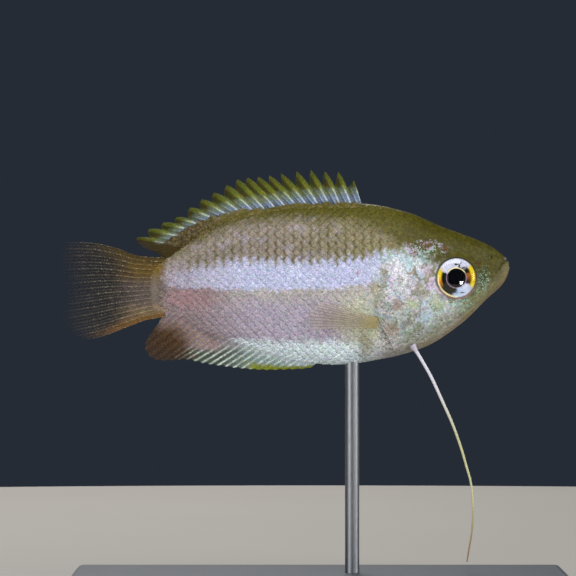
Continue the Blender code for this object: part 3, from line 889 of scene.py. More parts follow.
def build_scales(name, sign, roots, length, width, lift, grid, material, seed):
    """One joined mesh of closed scales that follow the body's curve."""
    scene = bpy.context.scene
    inset = scene.gourami_body.inset
    lengthwise, across = grid
    outline = scale_outline(lengthwise, across)
    faces, rim = scale_faces(len(lengthwise), len(across))
    chance = np.random.default_rng(seed)
    count = len(roots)
    along = (outline[:, 0] * length)[None, :]
    side = (outline[:, 1] * width / 2.0)[None, :]
    turn = chance.normal(0.0, SCALE_TURN, (count, 1))
    stretch = chance.uniform(*SCALE_STRETCH, (count, 1))
    forward = roots[:, :1]
    angle = roots[:, 1:]
    probe = body_surface(forward, angle + 0.01, inset) - body_surface(forward, angle - 0.01, inset)
    radius = np.maximum(np.linalg.norm(probe, axis=-1) / 0.02, 0.6)
    x = np.maximum(forward - (along * stretch + side * turn), TAIL_X + 0.05)
    angles = angle + (side - along * turn) / radius
    surface, normal = scale_ground(x, angles, scene)
    rise = (lift + SCALE_THICKNESS) * np.clip(outline[:, 0], 0.0, 1.0) ** 0.8
    dome = SCALE_DOME * (1.0 - np.clip(np.abs(outline[:, 1]), 0.0, 1.0) ** 2)
    flatten = 1.0 - 0.6 * smooth_step(forward, 3.0, 10.0)
    uneven = chance.normal(0.0, SCALE_UNEVEN, (count, 1))
    height = (rise + dome)[None, :] * flatten + uneven - SCALE_THICKNESS
    top = surface + normal * height[..., None]
    bottom = top[:, rim] - normal[:, rim] * SCALE_THICKNESS
    points = np.concatenate([top, bottom], axis=1)
    points[..., 1] *= -sign
    per_scale = points.shape[1]
    corners = []
    for index in range(count):
        shift = index * per_scale
        for face in faces:
            turned = face if sign > 0.0 else face[::-1]
            corners.append(tuple(shift + corner for corner in turned))
    data = bpy.data.meshes.new(name)
    data.from_pydata((points.reshape(-1, 3) * MM).tolist(), [], corners)
    data.update()
    made = put_in_scene(name, data)

    rim_share = np.clip((outline[:, 0] - 0.72) / 0.25, 0.0, 1.0) * (1.0 - 0.6 * np.abs(outline[:, 1]))
    store_attribute(made, "rim", np.tile(np.concatenate([rim_share, rim_share[rim]]), count))
    store_attribute(made, "tone", np.repeat(chance.uniform(0.0, 1.0, count), per_scale))
    store_levels(made, points.reshape(-1, 3))
    unwrap_scales(data, outline, rim, forward, angle, sign)
    dress(made, material)
    return made


class GOURAMI_OT_scales(bpy.types.Operator):
    """Cover each side with staggered rows of scales, small ones on the head and gill cover"""

    bl_idname = "gourami.scales"
    bl_label = "Scales"

    def execute(self, context):
        scene = context.scene
        sizes = scene.gourami_scales
        inset = scene.gourami_body.inset
        eye = scene.gourami_eye
        material = scale_material(eye)

        def on_trunk(x, z):
            behind_gill = x < GILL_X + gill_sweep(z) * smooth_step(x, -13.0, 3.0) - 0.1
            above_gill = (z > GILL_TOP + 0.2) & (x < 10.6)
            return behind_gill | above_gill

        def on_head(x, z):
            ahead = ~on_trunk(x, z)
            off_eye = np.hypot(x - eye.x, z - eye.height) > eye.radius + 0.75
            face = (x < 18.6 - 0.35 * np.abs(z - 38.0)) & (z > belly_height(x) + 0.7)
            return ahead & off_eye & face & (x > GILL_X + 0.6 * gill_sweep(z))

        trunk = lay_scales(sizes.pitch, sizes.row, LAST_SCALE_X, TRUNK_SCALES_END, on_trunk, inset)
        share = sizes.head_share
        head = lay_scales(sizes.pitch * share, sizes.row * share, GILL_X + 0.6, HEAD_SCALES_END, on_head,
                          inset)
        for order, (side, sign) in enumerate(SIDES):
            for name, roots, size, grid, seed in (("body_scales_", trunk, 1.0, BODY_SCALE_GRID, 11),
                                                  ("head_scales_", head, share, HEAD_SCALE_GRID, 21)):
                build_scales(name + side, -sign, roots, sizes.length * size, sizes.width * size, sizes.lift,
                             grid, material, seed + order)
        return {"FINISHED"}


# Distance within which a spun mesh's seam and poles are merged, in metres
EYE_MERGE = 0.000004
EYE_STEPS = 72
PUPIL_STEPS = 48

# How much of a sphere's half a dome takes, as the sine at its edge
DOME_EDGE = 0.93

# The eye's inside, in millimetres: the pit of the iris as shares of the pupil's radius and depths, the iris's
# rear, and the lens as a share of the pupil's radius, its middle's depth and half its thickness
IRIS_AHEAD = 0.08
IRIS_DOME = 0.2
IRIS_PIT = ((0.0, 0.34), (0.8, 0.3), (1.0, 0.12))
IRIS_REAR = (0.6, 1.2, 1.5)
EYE_LAP = 0.02
LENS = (0.84, 0.42, 0.36)
CORNEA_THICKNESS = 0.05


def spun_ring(name, profile, eye, sign, steps):
    """Turn a profile of radius and outward distance round the eye's axis, then tilt it with the cheek."""
    data = bpy.data.meshes.new(name)
    points = [((eye.x + radius) * MM, sign * out * MM, eye.height * MM) for radius, out in profile]
    data.from_pydata(points, [(index, index + 1) for index in range(len(profile) - 1)], [])
    made = put_in_scene(name, data)
    bpy.ops.object.mode_set(mode="EDIT")
    bpy.ops.mesh.select_all(action="SELECT")
    bpy.ops.mesh.spin(steps=steps, angle=2.0 * math.pi, center=(eye.x * MM, 0.0, eye.height * MM),
                      axis=(0.0, 1.0, 0.0))
    face_outwards(EYE_MERGE)
    bpy.ops.object.mode_set(mode="EDIT")
    bpy.ops.mesh.select_all(action="SELECT")
    pivot = (eye.x * MM, sign * (eye.front - eye.bulge) * MM, eye.height * MM)
    bpy.ops.transform.rotate(value=sign * eye.tilt, orient_axis="Z", orient_type="GLOBAL",
                             center_override=pivot)
    bpy.ops.object.mode_set(mode="OBJECT")
    return made


def arc_profile(radius, front, depth, count):
    """Outward distances of a dome that is depth high, from its axis to its edge."""
    whole = 1.0 - math.sqrt(1.0 - DOME_EDGE ** 2)
    return [(radius * share, front - depth * (1.0 - math.sqrt(1.0 - (DOME_EDGE * share) ** 2)) / whole)
            for share in np.linspace(0.0, 1.0, count)]


IRIS_GOLD = tint(216, 190, 30)
IRIS_ORANGE = tint(226, 132, 20)
IRIS_AMBER = tint(160, 100, 20)
IRIS_BROWN = tint(92, 56, 16)
IRIS_SILVER = tint(194, 196, 214)
IRIS_BLUE = tint(166, 188, 216)
IRIS_BLACK = tint(24, 24, 12)
IRIS_CREAM = tint(248, 236, 176)
PUPIL_RING = tint(156, 134, 158)
EYE_RIM = tint(40, 34, 22)

# Colours round the iris, from the rear over the underside, the front and the top, and its small dark marks
IRIS_OUTER = ((0.0, IRIS_GOLD), (0.03, IRIS_ORANGE), (0.065, IRIS_AMBER), (0.09, IRIS_BLACK),
              (0.2, IRIS_BLACK), (0.235, IRIS_BLUE), (0.36, IRIS_SILVER), (0.4, IRIS_BLUE),
              (0.43, IRIS_GOLD), (0.53, IRIS_GOLD), (0.6, IRIS_GOLD), (0.63, IRIS_SILVER),
              (0.9, IRIS_SILVER), (0.935, IRIS_GOLD))
IRIS_INNER = ((0.0, IRIS_BLACK), (0.24, IRIS_BLACK), (0.27, IRIS_BLUE), (0.4, IRIS_SILVER),
              (0.43, IRIS_BLACK), (0.47, IRIS_BROWN), (0.55, IRIS_AMBER), (0.58, IRIS_BLACK),
              (0.62, IRIS_BLACK), (0.66, IRIS_SILVER), (0.92, IRIS_SILVER), (0.95, IRIS_BLACK))
IRIS_MARKS = (((0.05, 1.5), (0.34, 0.13)), ((0.32, 1.28), (0.14, 0.3)), ((0.62, 1.12), (0.42, 0.13)),
              ((0.5, 1.62), (0.13, 0.2)), ((0.7, -1.6), (0.5, 0.08)))


def iris_material(eye):
    """Iris: silver above, gold at both sides, a dark crescent low behind and silver-blue below."""
    desk = NodeDesk("iris")
    from_centre = desk.place - (eye.x, 0.0, eye.height)
    wavy = from_centre + desk.drift(2.2, 3.0) * 0.6
    wavy_x, _, wavy_z = wavy.parts()
    radius = (from_centre * (1.0, 0.0, 1.0)).length()
    turn = wavy_z.math("ARCTAN2", wavy_x) / (2.0 * math.pi) + 0.5
    inner = desk.ramp(turn, IRIS_INNER)
    outer = desk.ramp(turn, IRIS_OUTER)
    colour = desk.mix(radius.fade(1.55, 1.85), inner, outer)
    for centre, radii in IRIS_MARKS:
        colour = desk.mix(wavy.blob(centre, radii, 0.6), colour, IRIS_BLACK)
    ring = radius.fade(eye.pupil + 0.17, eye.pupil + 0.1)
    cream = wavy.parts()[2].fade(0.4, 0.75)
    colour = desk.mix(ring * cream.math("MAXIMUM", 0.6), colour, desk.mix(cream, PUPIL_RING, IRIS_CREAM))
    low_left = desk.x.fade(eye.x + 0.6, eye.x - 0.4) * desk.z.fade(eye.height + 0.8, eye.height - 0.2)
    cream_edge = radius.fade(eye.radius - 0.24, eye.radius - 0.14) * low_left
    colour = desk.mix(cream_edge * 0.8, colour, IRIS_CREAM)
    colour = desk.mix(radius.fade(eye.radius - 0.06, eye.radius), colour, EYE_RIM)
    colour = desk.mix(radius.fade(eye.pupil + 0.05, eye.pupil), colour, (0.002,) * 3)
    streaks = desk.noise(6.0, 3.0)
    colour = desk.shade(colour, streaks.remap(0.3, 0.7, 0.75, 1.12))
    desk.bump(streaks, 0.03, 0.5)
    return desk.finish(colour, Roughness=0.35, Specular_IOR_Level=0.05)


def pupil_material():
    desk = NodeDesk("pupil")
    grain = desk.noise(5.0, 3.0).remap(0.3, 0.7, 0.9, 1.1)
    return desk.finish(desk.shade((0.002, 0.002, 0.003), grain), Roughness=0.3, Specular_IOR_Level=0.0)


def cornea_material():
    desk = NodeDesk("cornea")
    return desk.finish((1.0, 1.0, 1.0), Roughness=0.0, IOR=1.36, Transmission_Weight=1.0)


class GOURAMI_OT_eyes(bpy.types.Operator):
    """Make each eye: a dished iris, a dark lens in the pupil and a clear cornea"""

    bl_idname = "gourami.eyes"
    bl_label = "Eyes"

    def execute(self, context):
        eye = context.scene.gourami_eye
        iris_finish = iris_material(eye)
        lens_finish = pupil_material()
        clear_finish = cornea_material()
        iris_front = eye.front - eye.bulge + IRIS_AHEAD
        edge = eye.radius + EYE_LAP
        lens_share, lens_depth, lens_half = LENS
        for side, sign in SIDES:
            profile = [(eye.pupil * share, iris_front - depth) for share, depth in IRIS_PIT]
            profile += [point for point in arc_profile(eye.radius, iris_front, IRIS_DOME, 14)
                        if point[0] > eye.pupil + 0.1]
            profile += [(radius, iris_front - depth)
                        for radius, depth in zip((edge, eye.radius * 0.8, 0.0), IRIS_REAR)]
            iris = spun_ring("eyeball_" + side, profile, eye, sign, EYE_STEPS)
            dress(iris, iris_finish, "eye_" + side)
            lens_profile = [(lens_share * eye.pupil * math.sin(turn),
                             iris_front - lens_depth + lens_half * math.cos(turn))
                            for turn in np.linspace(0.0, math.pi, 16)]
            lens = spun_ring("pupil_" + side, lens_profile, eye, sign, PUPIL_STEPS)
            dress(lens, lens_finish)
            outer = arc_profile(edge, eye.front, eye.bulge, 16)
            inner = [(radius, out - CORNEA_THICKNESS) for radius, out in reversed(outer)]
            cornea = spun_ring("cornea_" + side, outer + inner, eye, sign, EYE_STEPS)
            dress(cornea, clear_finish)
            cornea.visible_shadow = False
        return {"FINISHED"}


# Fin outlines in side view, in millimetres, and how the flag of a dorsal spine falls and rises to the next
SPINE_TIPS = [(3.83, 47.0), (2.05, 47.95), (0.56, 48.0), (-1.03, 48.15), (-2.61, 48.0), (-4.35, 47.77),
              (-5.69, 47.55), (-6.92, 47.39), (-8.13, 47.3), (-9.25, 47.1), (-10.46, 46.46), (-11.86, 45.62),
              (-13.26, 44.87), (-14.57, 43.94), (-16.06, 42.85), (-17.57, 42.25), (-19.15, 41.55),
              (-20.5, 40.6)]
FLAG_STEPS = 8
FLAG_FALL = 0.625
NOTCH_SHIFT = np.array([0.16, 0.08])
RISE_BOW = np.array([0.06, 0.08])
NOTCH_SHARES = [(0.0, 0.45), (0.3, 0.5), (0.5, 0.66), (1.0, 0.72)]
SPINE_ROOTS = (4.8, -15.3)
SOFT_EDGE = [(-20.6, 40.4), (-20.35, 39.95), (-19.4, 39.3), (-18.4, 38.95), (-17.7, 38.75)]
SOFT_ROOT_END = -17.3
ANAL_ROOTS = (0.1, -17.5)
ANAL_RIM = [(-0.9, 26.1), (-1.9, 25.9), (-7.0, 25.8), (-12.3, 26.4), (-15.0, 26.95), (-17.0, 26.8),
            (-18.5, 26.95), (-19.4, 27.7), (-19.6, 28.6), (-18.9, 29.9), (-18.0, 30.9)]
CAUDAL_TOP = [(-17.4, 38.3), (-20.5, 38.55), (-22.9, 39.4), (-25.4, 39.95), (-28.6, 40.05)]
CAUDAL_BOTTOM = [(-17.4, 31.7), (-19.6, 31.3), (-22.0, 30.4), (-24.4, 29.5), (-26.9, 29.0)]
CAUDAL_RIM = [(-28.6, 40.05), (-29.05, 38.6), (-28.75, 36.4), (-28.35, 34.4), (-28.8, 32.4), (-28.6, 30.8),
              (-26.9, 29.0)]
PECTORAL_TOP = [(6.95, 31.5), (5.6, 31.85), (3.2, 32.6), (0.3, 33.5)]
PECTORAL_BOTTOM = [(6.75, 30.4), (5.6, 30.45), (4.4, 30.45), (1.6, 30.4), (-0.9, 30.25)]
PECTORAL_RIM = [(0.3, 33.5), (-0.9, 32.75), (-1.35, 32.0), (-1.45, 31.2), (-0.9, 30.25)]
PECTORAL_SPLAY = 0.13
PECTORAL_CLEARANCE = 0.5
PECTORAL_SUNK = 0.2
PECTORAL_WAVE = 0.12

# Depth at which a long fin's foot leaves the body, in millimetres, and its grid's rows
FOOT_DEPTH = 0.22
ROOTED_ROWS = 34


def fin_piece(name, columns, rows, place, thickness):
    """A thin closed fin from a grid, with its place and thickness in millimetres at each u and v."""
    deselect()
    bpy.ops.mesh.primitive_grid_add(x_subdivisions=columns, y_subdivisions=rows, size=2.0, calc_uvs=True)
    fin = bpy.context.object
    fin.name = name
    grid = vertex_places(fin)
    u = (grid[:, 0] + 1.0) / 2.0
    v = (grid[:, 1] + 1.0) / 2.0
    place_vertices(fin, place(u, v))
    wanted = thickness(u, v)
    most = float(wanted.max())
    group = fin.vertex_groups.new(name="ray thickness")
    for index, value in enumerate(wanted):
        group.add([index], float(value / most), "REPLACE")
    solid = fin.modifiers.new("thickness", "SOLIDIFY")
    solid.thickness = most * MM
    solid.offset = 0.0
    solid.vertex_group = group.name
    solid.thickness_vertex_group = 0.0
    bpy.ops.object.modifier_apply(modifier=solid.name)
    face_outwards()
    return fin


def ray_share(u, rays):
    """1 on each ray, 0 midway between two rays."""
    return 1.0 - np.abs(u * rays - np.rint(u * rays)) * 2.0


def ray_thickness(sizes, rays, taper=0.6, foot=0.0, foot_share=0.4):
    """Thickness that swells along each ray, thins towards the fin's edge and widens into a fleshy foot."""
    def thickness(u, v):
        swell = smooth_step(ray_share(u, rays), 0.45, 1.0)
        blade = sizes.membrane + (sizes.ray - sizes.membrane) * swell * (1.0 - taper * v)
        return blade + foot * smooth_step(v, foot_share, 0.0) ** 2
    return thickness


def fin_foot(x, z, edge, inward):
    """Extra thickness that carries the body's own sides over its edge and out into a fin, in millimetres."""
    depth = (z - edge) * inward
    share = np.clip((depth - FOOT_DEPTH) / FOOT_DEPTH, 0.0, 1.0)
    within = side_distance(x, edge + np.maximum(depth, FOOT_DEPTH) * inward) * (1.0 - 0.14 * share)
    return 2.0 * within * np.exp(-np.maximum(FOOT_DEPTH - depth, 0.0) / (2.0 * FOOT_DEPTH))


def rooted_fin(name, columns, place, blade, edge, inward, mark):
    """A fin whose foot carries on the body's sides, with its distance out from the edge kept as a mark."""
    def thickness(u, v):
        points = place(u, v)
        return blade(u, v) + fin_foot(points[:, 0], points[:, 2], edge(points[:, 0]), inward)

    fin = fin_piece(name, columns, ROOTED_ROWS, place, thickness)
    places = vertex_places(fin) / MM
    store_attribute(fin, mark, (edge(places[:, 0]) - places[:, 2]) * inward)
    return fin


def between(first, second, share):
    return first + (second - first) * share[:, None]


def lookup(table, share):
    """Points of an evenly spaced path at shares of its length."""
    places = np.linspace(0.0, 1.0, len(table))
    return np.stack([np.interp(share, places, table[:, axis]) for axis in range(table.shape[1])], -1)


def patch_place(top, bottom, rim, bend=None):
    """Place function of a fan between a top edge, a bottom edge and an outer rim."""
    top_path = path_points(top, 60)
    bottom_path = path_points(bottom, 60)
    rim_path = path_points(rim, 200)

    def place(u, v):
        flat = between(lookup(top_path, v), lookup(bottom_path, v), u)
        end = between(np.tile(top_path[-1], (len(u), 1)), np.tile(bottom_path[-1], (len(u), 1)), u)
        flat = flat + (lookup(rim_path, u) - end) * (v ** 2)[:, None]
        y = np.zeros(len(u)) if bend is None else bend(u, v)
        return np.stack([flat[:, 0], y, flat[:, 1]], -1)
    return place


def ray_lines(desk, rays, width):
    """1 along each ray in the fin's own UV map, and the share of the way out from the root."""
    u, v, _ = desk.uv.parts()
    wander = (desk.noise(2.0) - 0.5) * 0.12
    place = u * float(rays) + wander
    near = ((place + 0.5).math("FRACT") - 0.5).math("ABSOLUTE")
    return (near.fade(width, 0.0), v, u)


def dorsal_places(sizes):
    """Root and top points of the dorsal fin for each column of its grid."""
    tips = lookup(np.array(SPINE_TIPS), np.linspace(0.0, 1.0, sizes.spines))
    spine_x = np.linspace(SPINE_ROOTS[0], SPINE_ROOTS[1], sizes.spines)
    spine_roots = np.stack([spine_x, back_height(spine_x)], -1)
    tops = []
    for spine in range(sizes.spines - 1):
        tip = tips[spine]
        after = tips[spine + 1]
        notch_share = curve_value(NOTCH_SHARES, (spine + 1) / sizes.spines)
        root = spine_roots[spine + 1]
        notch = root + notch_share * (after - root) + NOTCH_SHIFT
        for step in range(FLAG_STEPS):
            share = step / FLAG_STEPS
            if share < FLAG_FALL:
                fall = share / FLAG_FALL
                belly = -0.06 - 0.26 * min(spine / 8.0, 1.0)
                tops.append(tip + (notch - tip) * fall + np.array([belly, -0.1]) * math.sin(fall * math.pi))
            else:
                rise = (share - FLAG_FALL) / (1.0 - FLAG_FALL)
                tops.append(notch + (after - notch) * rise + RISE_BOW * math.sin(rise * math.pi))
    soft_count = sizes.soft_rays * FLAG_STEPS + 1
    soft = path_points(SOFT_EDGE, soft_count)
    tops = np.array(tops + [tips[-1]] + list(soft[1:]))
    spine_columns = (sizes.spines - 1) * FLAG_STEPS
    root_x = np.concatenate([np.linspace(SPINE_ROOTS[0], SPINE_ROOTS[1], spine_columns + 1),
                             np.linspace(SPINE_ROOTS[1], SOFT_ROOT_END, soft_count)[1:]])
    roots = np.stack([root_x, back_height(root_x) - 0.6], -1)
    return roots, tops


FLAG_EDGE = tint(114, 122, 26)
FLAG_LIGHT = tint(184, 200, 104)
FLAG_MIDDLE = tint(66, 70, 12)
FLAG_BROWN = tint(88, 66, 12)
FOOT_BLUE = tint(116, 136, 166)
FOOT_SLATE = tint(54, 66, 80)
SPINE_WHITE = tint(208, 222, 224)
SOFT_OLIVE = tint(64, 50, 4)
SOFT_RAY = tint(76, 64, 12)
SHEATH_TAN = tint(146, 130, 92)


def dorsal_material(sizes):
    """Silver-blue foot with pale spines and slate lines, olive flags with bright edges, olive rear lobe."""
    desk = NodeDesk("dorsal_membrane")
    rays = sizes.spines - 1 + sizes.soft_rays
    line, v, u = ray_lines(desk, rays, 0.1)
    share = (u * float(rays)).math("FRACT")
    above = desk.attribute("above")
    blotch = desk.noise(1.6, 3.0) - 0.5
    slate = share.fade(0.3, 0.5) * share.fade(0.95, 0.75) * blotch.remap(-0.15, 0.15, 0.55, 1.0)
    foot = desk.mix(slate, FOOT_BLUE, FOOT_SLATE)
    foot = desk.mix(ray_lines(desk, rays * 3, 0.14)[0] * 0.45, foot, SPINE_WHITE)
    foot = desk.mix(line * 0.9, foot, SPINE_WHITE)
    middle = share.fade(0.05, 0.2) * share.fade(0.55, 0.38)
    flag = desk.mix(middle, FLAG_EDGE, desk.mix(blotch.fade(0.0, 0.15), FLAG_MIDDLE, FLAG_BROWN))
    scaly = desk.x.remap(-15.0, -6.5, 1.45, 0.12)
    border = scaly + desk.x.remap(-16.0, 4.0, 0.6, 1.4)
    past = above + blotch * 0.9 - border
    lime = desk.mix(line, FLAG_EDGE, FLAG_LIGHT)
    colour = desk.mix(past.fade(-0.9, -0.1), foot, desk.mix(0.6, foot, lime))
    colour = desk.mix(past.fade(-0.25, 0.65), colour, flag)
    over = above + blotch * 1.4 - scaly
    olive = desk.mix(desk.x.fade(-8.0, -15.0), OLIVE_BACK, SOFT_OLIVE)
    olive = desk.mix(desk.noise(3.0, 3.0, roughness=0.7).remap(0.42, 0.66, 0.0, 0.6), olive, SHEATH_TAN)
    colour = desk.mix(over.fade(0.12, -0.18), colour, olive)
    colour = desk.shade(colour, v.fade(0.5, 1.0).scaled(1.0, 0.5))
    rear = u.fade((sizes.spines - 1.4) / rays, (sizes.spines - 0.4) / rays)
    colour = desk.mix(rear, colour, desk.mix(line, SOFT_OLIVE, SOFT_RAY))
    alpha = rear * (v.remap(0.3, 1.0, 1.0, 0.45) - 0.97) + 0.97
    return membrane_finish(desk, colour, 0.7, Roughness=0.4, Alpha=alpha, Specular_IOR_Level=0.3)


class GOURAMI_OT_dorsal_fin(bpy.types.Operator):
    """Make the dorsal fin: spines with a free flag at each tip, and a soft lobe behind"""

    bl_idname = "gourami.dorsal_fin"
    bl_label = "Dorsal Fin"

    def execute(self, context):
        sizes = context.scene.gourami_fins
        roots, tops = dorsal_places(sizes)
        rays = sizes.spines - 1 + sizes.soft_rays

        def place(u, v):
            flat = between(lookup(roots, u), lookup(tops, u), v)
            return np.stack([flat[:, 0], 0.05 * np.sin(u * 19.0) * v, flat[:, 1]], -1)

        fin = rooted_fin("dorsal_membrane", len(tops) - 1, place, ray_thickness(sizes, rays, 0.5),
                         back_height, -1.0, "above")
        dress(fin, dorsal_material(sizes), "dorsal_fin")
        return {"FINISHED"}


STRIPE_PALE = tint(212, 228, 218)
STRIPE_DARK = tint(72, 80, 68)
STRIPE_GREY = tint(140, 160, 158)
ANAL_LIME = tint(126, 134, 38)
LOBE_BROWN = tint(78, 54, 28)
LOBE_RAY = tint(92, 66, 38)
AMBER_RAY = tint(170, 140, 104)


def anal_material(sizes):
    """Foot like the body, pale and dark slanting rays, a lime rim in front and a clear brown lobe behind."""
    desk = NodeDesk("anal_membrane")
    line, v, _ = ray_lines(desk, sizes.anal_rays, 0.32)
    below = desk.attribute("below")
    blotch = desk.noise(1.2, 3.0) - 0.5
    x = desk.x + blotch * 3.0
    body = desk.mix(x.fade(-11.5, -7.5), MAUVE_REAR, SILVER_BELLY)
    gap = desk.mix(x.fade(-11.5, -5.5), STRIPE_DARK, STRIPE_GREY)
    stripes = desk.mix(line * desk.noise(1.9, 3.0).remap(0.36, 0.58, 0.45, 1.0), gap, STRIPE_PALE)
    past = below + blotch - desk.x.remap(-15.3, -9.5, 3.0, 0.15)
    colour = desk.mix(past.fade(-0.5, 0.6), desk.shade(body, line.scaled(0.9, 1.05)), stripes)
    lime = (v + blotch * 0.4).fade(0.56, 0.85) * x.fade(-9.5, -7.0)
    colour = desk.mix(lime, colour, ANAL_LIME)
    amber = past.fade(0.2, -0.6) * below.fade(-0.2, 0.8) * line * x.fade(-9.5, -12.0)
    colour = desk.mix(amber * 0.6, colour, AMBER_RAY)
    rear = x.fade(-12.6, -16.6) * (below + blotch).fade(-0.4, 2.0)
    colour = desk.mix(rear, colour, desk.mix(line, LOBE_BROWN, LOBE_RAY))
    alpha = (v * rear).remap(0.3, 1.0, 1.0, 0.35)
    return membrane_finish(desk, colour, 0.8, Roughness=0.4, Alpha=alpha, Specular_IOR_Level=0.3)


class GOURAMI_OT_anal_fin(bpy.types.Operator):
    """Make the long anal fin along the belly, deepening to a rounded lobe"""

    bl_idname = "gourami.anal_fin"
    bl_label = "Anal Fin"

    def execute(self, context):
        sizes = context.scene.gourami_fins
        rim = path_points(ANAL_RIM, 300)
        rays = sizes.anal_rays

        def place(u, v):
            root_x = ANAL_ROOTS[0] + (ANAL_ROOTS[1] - ANAL_ROOTS[0]) * u
            roots = np.stack([root_x, belly_height(root_x) + 0.6], -1)
            flat = between(roots, lookup(rim, u ** 0.93), v)
            tooth = 0.1 * (ray_share(u, rays) - 0.5) * v ** 6
            return np.stack([flat[:, 0] - tooth, 0.06 * np.sin(u * 14.0) * v ** 2, flat[:, 1] - tooth], -1)

        fin = rooted_fin("anal_membrane", rays * 6, place, ray_thickness(sizes, rays, 0.6), belly_height, 1.0,
                         "below")
        dress(fin, anal_material(sizes), "anal_fin")
        return {"FINISHED"}


TAIL_SMOKE = tint(48, 41, 33)
TAIL_RAY = tint(104, 95, 80)
TAIL_DOT = tint(206, 198, 172)
TAIL_TOP = tint(92, 74, 24)
TAIL_LOW = tint(136, 98, 46)


def caudal_material(sizes):
    """Smoky clear membrane with fine light rays, olive along the top and orange-brown along the foot."""
    desk = NodeDesk("caudal_membrane")
    line, v, u = ray_lines(desk, sizes.caudal_rays, 0.2)
    fine = ray_lines(desk, sizes.caudal_rays * 2, 0.24)[0] * v.fade(0.35, 0.6)
    rays = line.math("MAXIMUM", fine * 0.7)
    blotch = desk.noise(1.3, 3.0) - 0.5
    out = v + blotch * 0.35
    colour = desk.mix(rays * v.scaled(0.9, 0.45), TAIL_SMOKE, TAIL_RAY)
    colour = desk.mix(out.fade(0.62, 0.22), colour,
                      desk.shade(tail_foot_colour(desk, desk.z), rays.scaled(0.82, 1.12)))
    colour = desk.mix(u.fade(0.2, 0.02) * out.fade(0.85, 0.4), colour, TAIL_TOP)
    colour = desk.mix(u.fade(0.86, 0.98) * out.fade(0.95, 0.5), colour, TAIL_LOW)
    dots = desk.noise(6.5, 1.0).fade(0.6, 0.66) * v.fade(1.0, 0.7)
    colour = desk.mix(dots * rays * 0.8, colour, TAIL_DOT)
    alpha = out.remap(0.15, 0.85, 0.97, 0.3) * v.fade(1.02, 0.8) * rays.scaled(0.7, 1.0)
    return membrane_finish(desk, colour, 0.8, Roughness=0.45, Alpha=alpha, Specular_IOR_Level=0.25)


class GOURAMI_OT_caudal_fin(bpy.types.Operator):
    """Make the fan of the tail fin"""

    bl_idname = "gourami.caudal_fin"
    bl_label = "Tail Fin"

    def execute(self, context):
        sizes = context.scene.gourami_fins
        rays = sizes.caudal_rays

        def wave(u, v):
            return 0.5 * v ** 2 * np.sin(u * 5.0 - 1.2) + 0.05 * np.sin(u * 40.0) * v ** 2

        smooth = patch_place(CAUDAL_TOP, CAUDAL_BOTTOM, CAUDAL_RIM, wave)

        def place(u, v):
            points = smooth(u, v)
            points[:, 0] -= 0.22 * (ray_share(u, rays * 2) - 0.5) * v ** 8
            return points

        fin = fin_piece("caudal_membrane", rays * 8, 60, place, ray_thickness(sizes, rays, 0.75, 0.8, 0.3))
        dress(fin, caudal_material(sizes), "caudal_fin")
        return {"FINISHED"}


PECTORAL_CLEAR = tint(206, 196, 186)
PECTORAL_RAY = tint(150, 120, 66)
PECTORAL_FOOT = tint(206, 192, 130)


def pectoral_material(sizes):
    """Clear membrane with fine amber rays and a yellow-green foot."""
    desk = NodeDesk("pectoral_membrane")
    line, v, _ = ray_lines(desk, sizes.pectoral_rays, 0.19)
    colour = desk.mix(line, PECTORAL_CLEAR, PECTORAL_RAY)
    foot = desk.mix(line * 0.6, PECTORAL_FOOT, PECTORAL_RAY)
    colour = desk.mix(v.fade(0.42, 0.12), colour, foot)
    colour = speckled(desk, colour, 0.3)
    solid = line * v.remap(0.2, 1.0, 1.0, 0.6)
    alpha = v.remap(0.1, 0.36, 0.6, 0.2).math("MAXIMUM", solid) * v.fade(1.02, 0.93) * v.fade(0.0, 0.14)
    return desk.finish(colour, Roughness=0.35, Alpha=alpha)


class GOURAMI_OT_pectoral_fins(bpy.types.Operator):
    """Make a small clear fan behind each gill cover"""

    bl_idname = "gourami.pectoral_fins"
    bl_label = "Pectoral Fins"

    def execute(self, context):
        sizes = context.scene.gourami_fins
        material = pectoral_material(sizes)
        rays = sizes.pectoral_rays
        flat = patch_place(PECTORAL_TOP, PECTORAL_BOTTOM, PECTORAL_RIM)
        for side, sign in SIDES:
            def place(u, v, sign=sign):
                points = flat(u, v)
                behind = PECTORAL_TOP[0][0] - points[:, 0]
                clear = PECTORAL_CLEARANCE * smooth_step(behind, -0.1, 0.9)
                clear += np.maximum(behind - 0.8, 0.0) * PECTORAL_SPLAY
                root = np.full(len(u), PECTORAL_TOP[0][0])
                out = side_distance(root, points[:, 2]) - PECTORAL_SUNK + clear
                points[:, 1] = sign * (out + PECTORAL_WAVE * np.sin(u * 6.0) * v)
                return points

            thin = ray_thickness(sizes, rays, 0.75)
            fin = fin_piece("pectoral_membrane_" + side, rays * 8, 40, place, lambda u, v: 0.6 * thin(u, v))
            dress(fin, material, "pectoral_fin_" + side)
        return {"FINISHED"}


# The feelers' distance from the middle plane at root and tip, their route in side view and their thickness
FEELER_Y = 1.35
FEELER_SPREAD_Y = 1.6
FEELER_POINTS = 110
FEELER_TIP = 0.07
FEELER_TAPER = 0.13
FEELER_KNOB = 0.2
FEELER_ROUTE = [(10.3, 28.55), (10.65, 28.0), (11.3, 26.95), (12.4, 25.0), (13.65, 22.3), (14.8, 19.7),
                (15.7, 17.2), (16.37, 14.9), (16.85, 13.1), (17.05, 10.9), (17.05, 9.0), (16.9, 7.3),
                (16.6, 5.6), (16.4, 4.3)]
THREAD_WHITE = tint(240, 238, 248)
THREAD_LIME = tint(214, 212, 160)
THREAD_BROWN = tint(150, 118, 74)
THREAD_FOOT = tint(206, 196, 214)


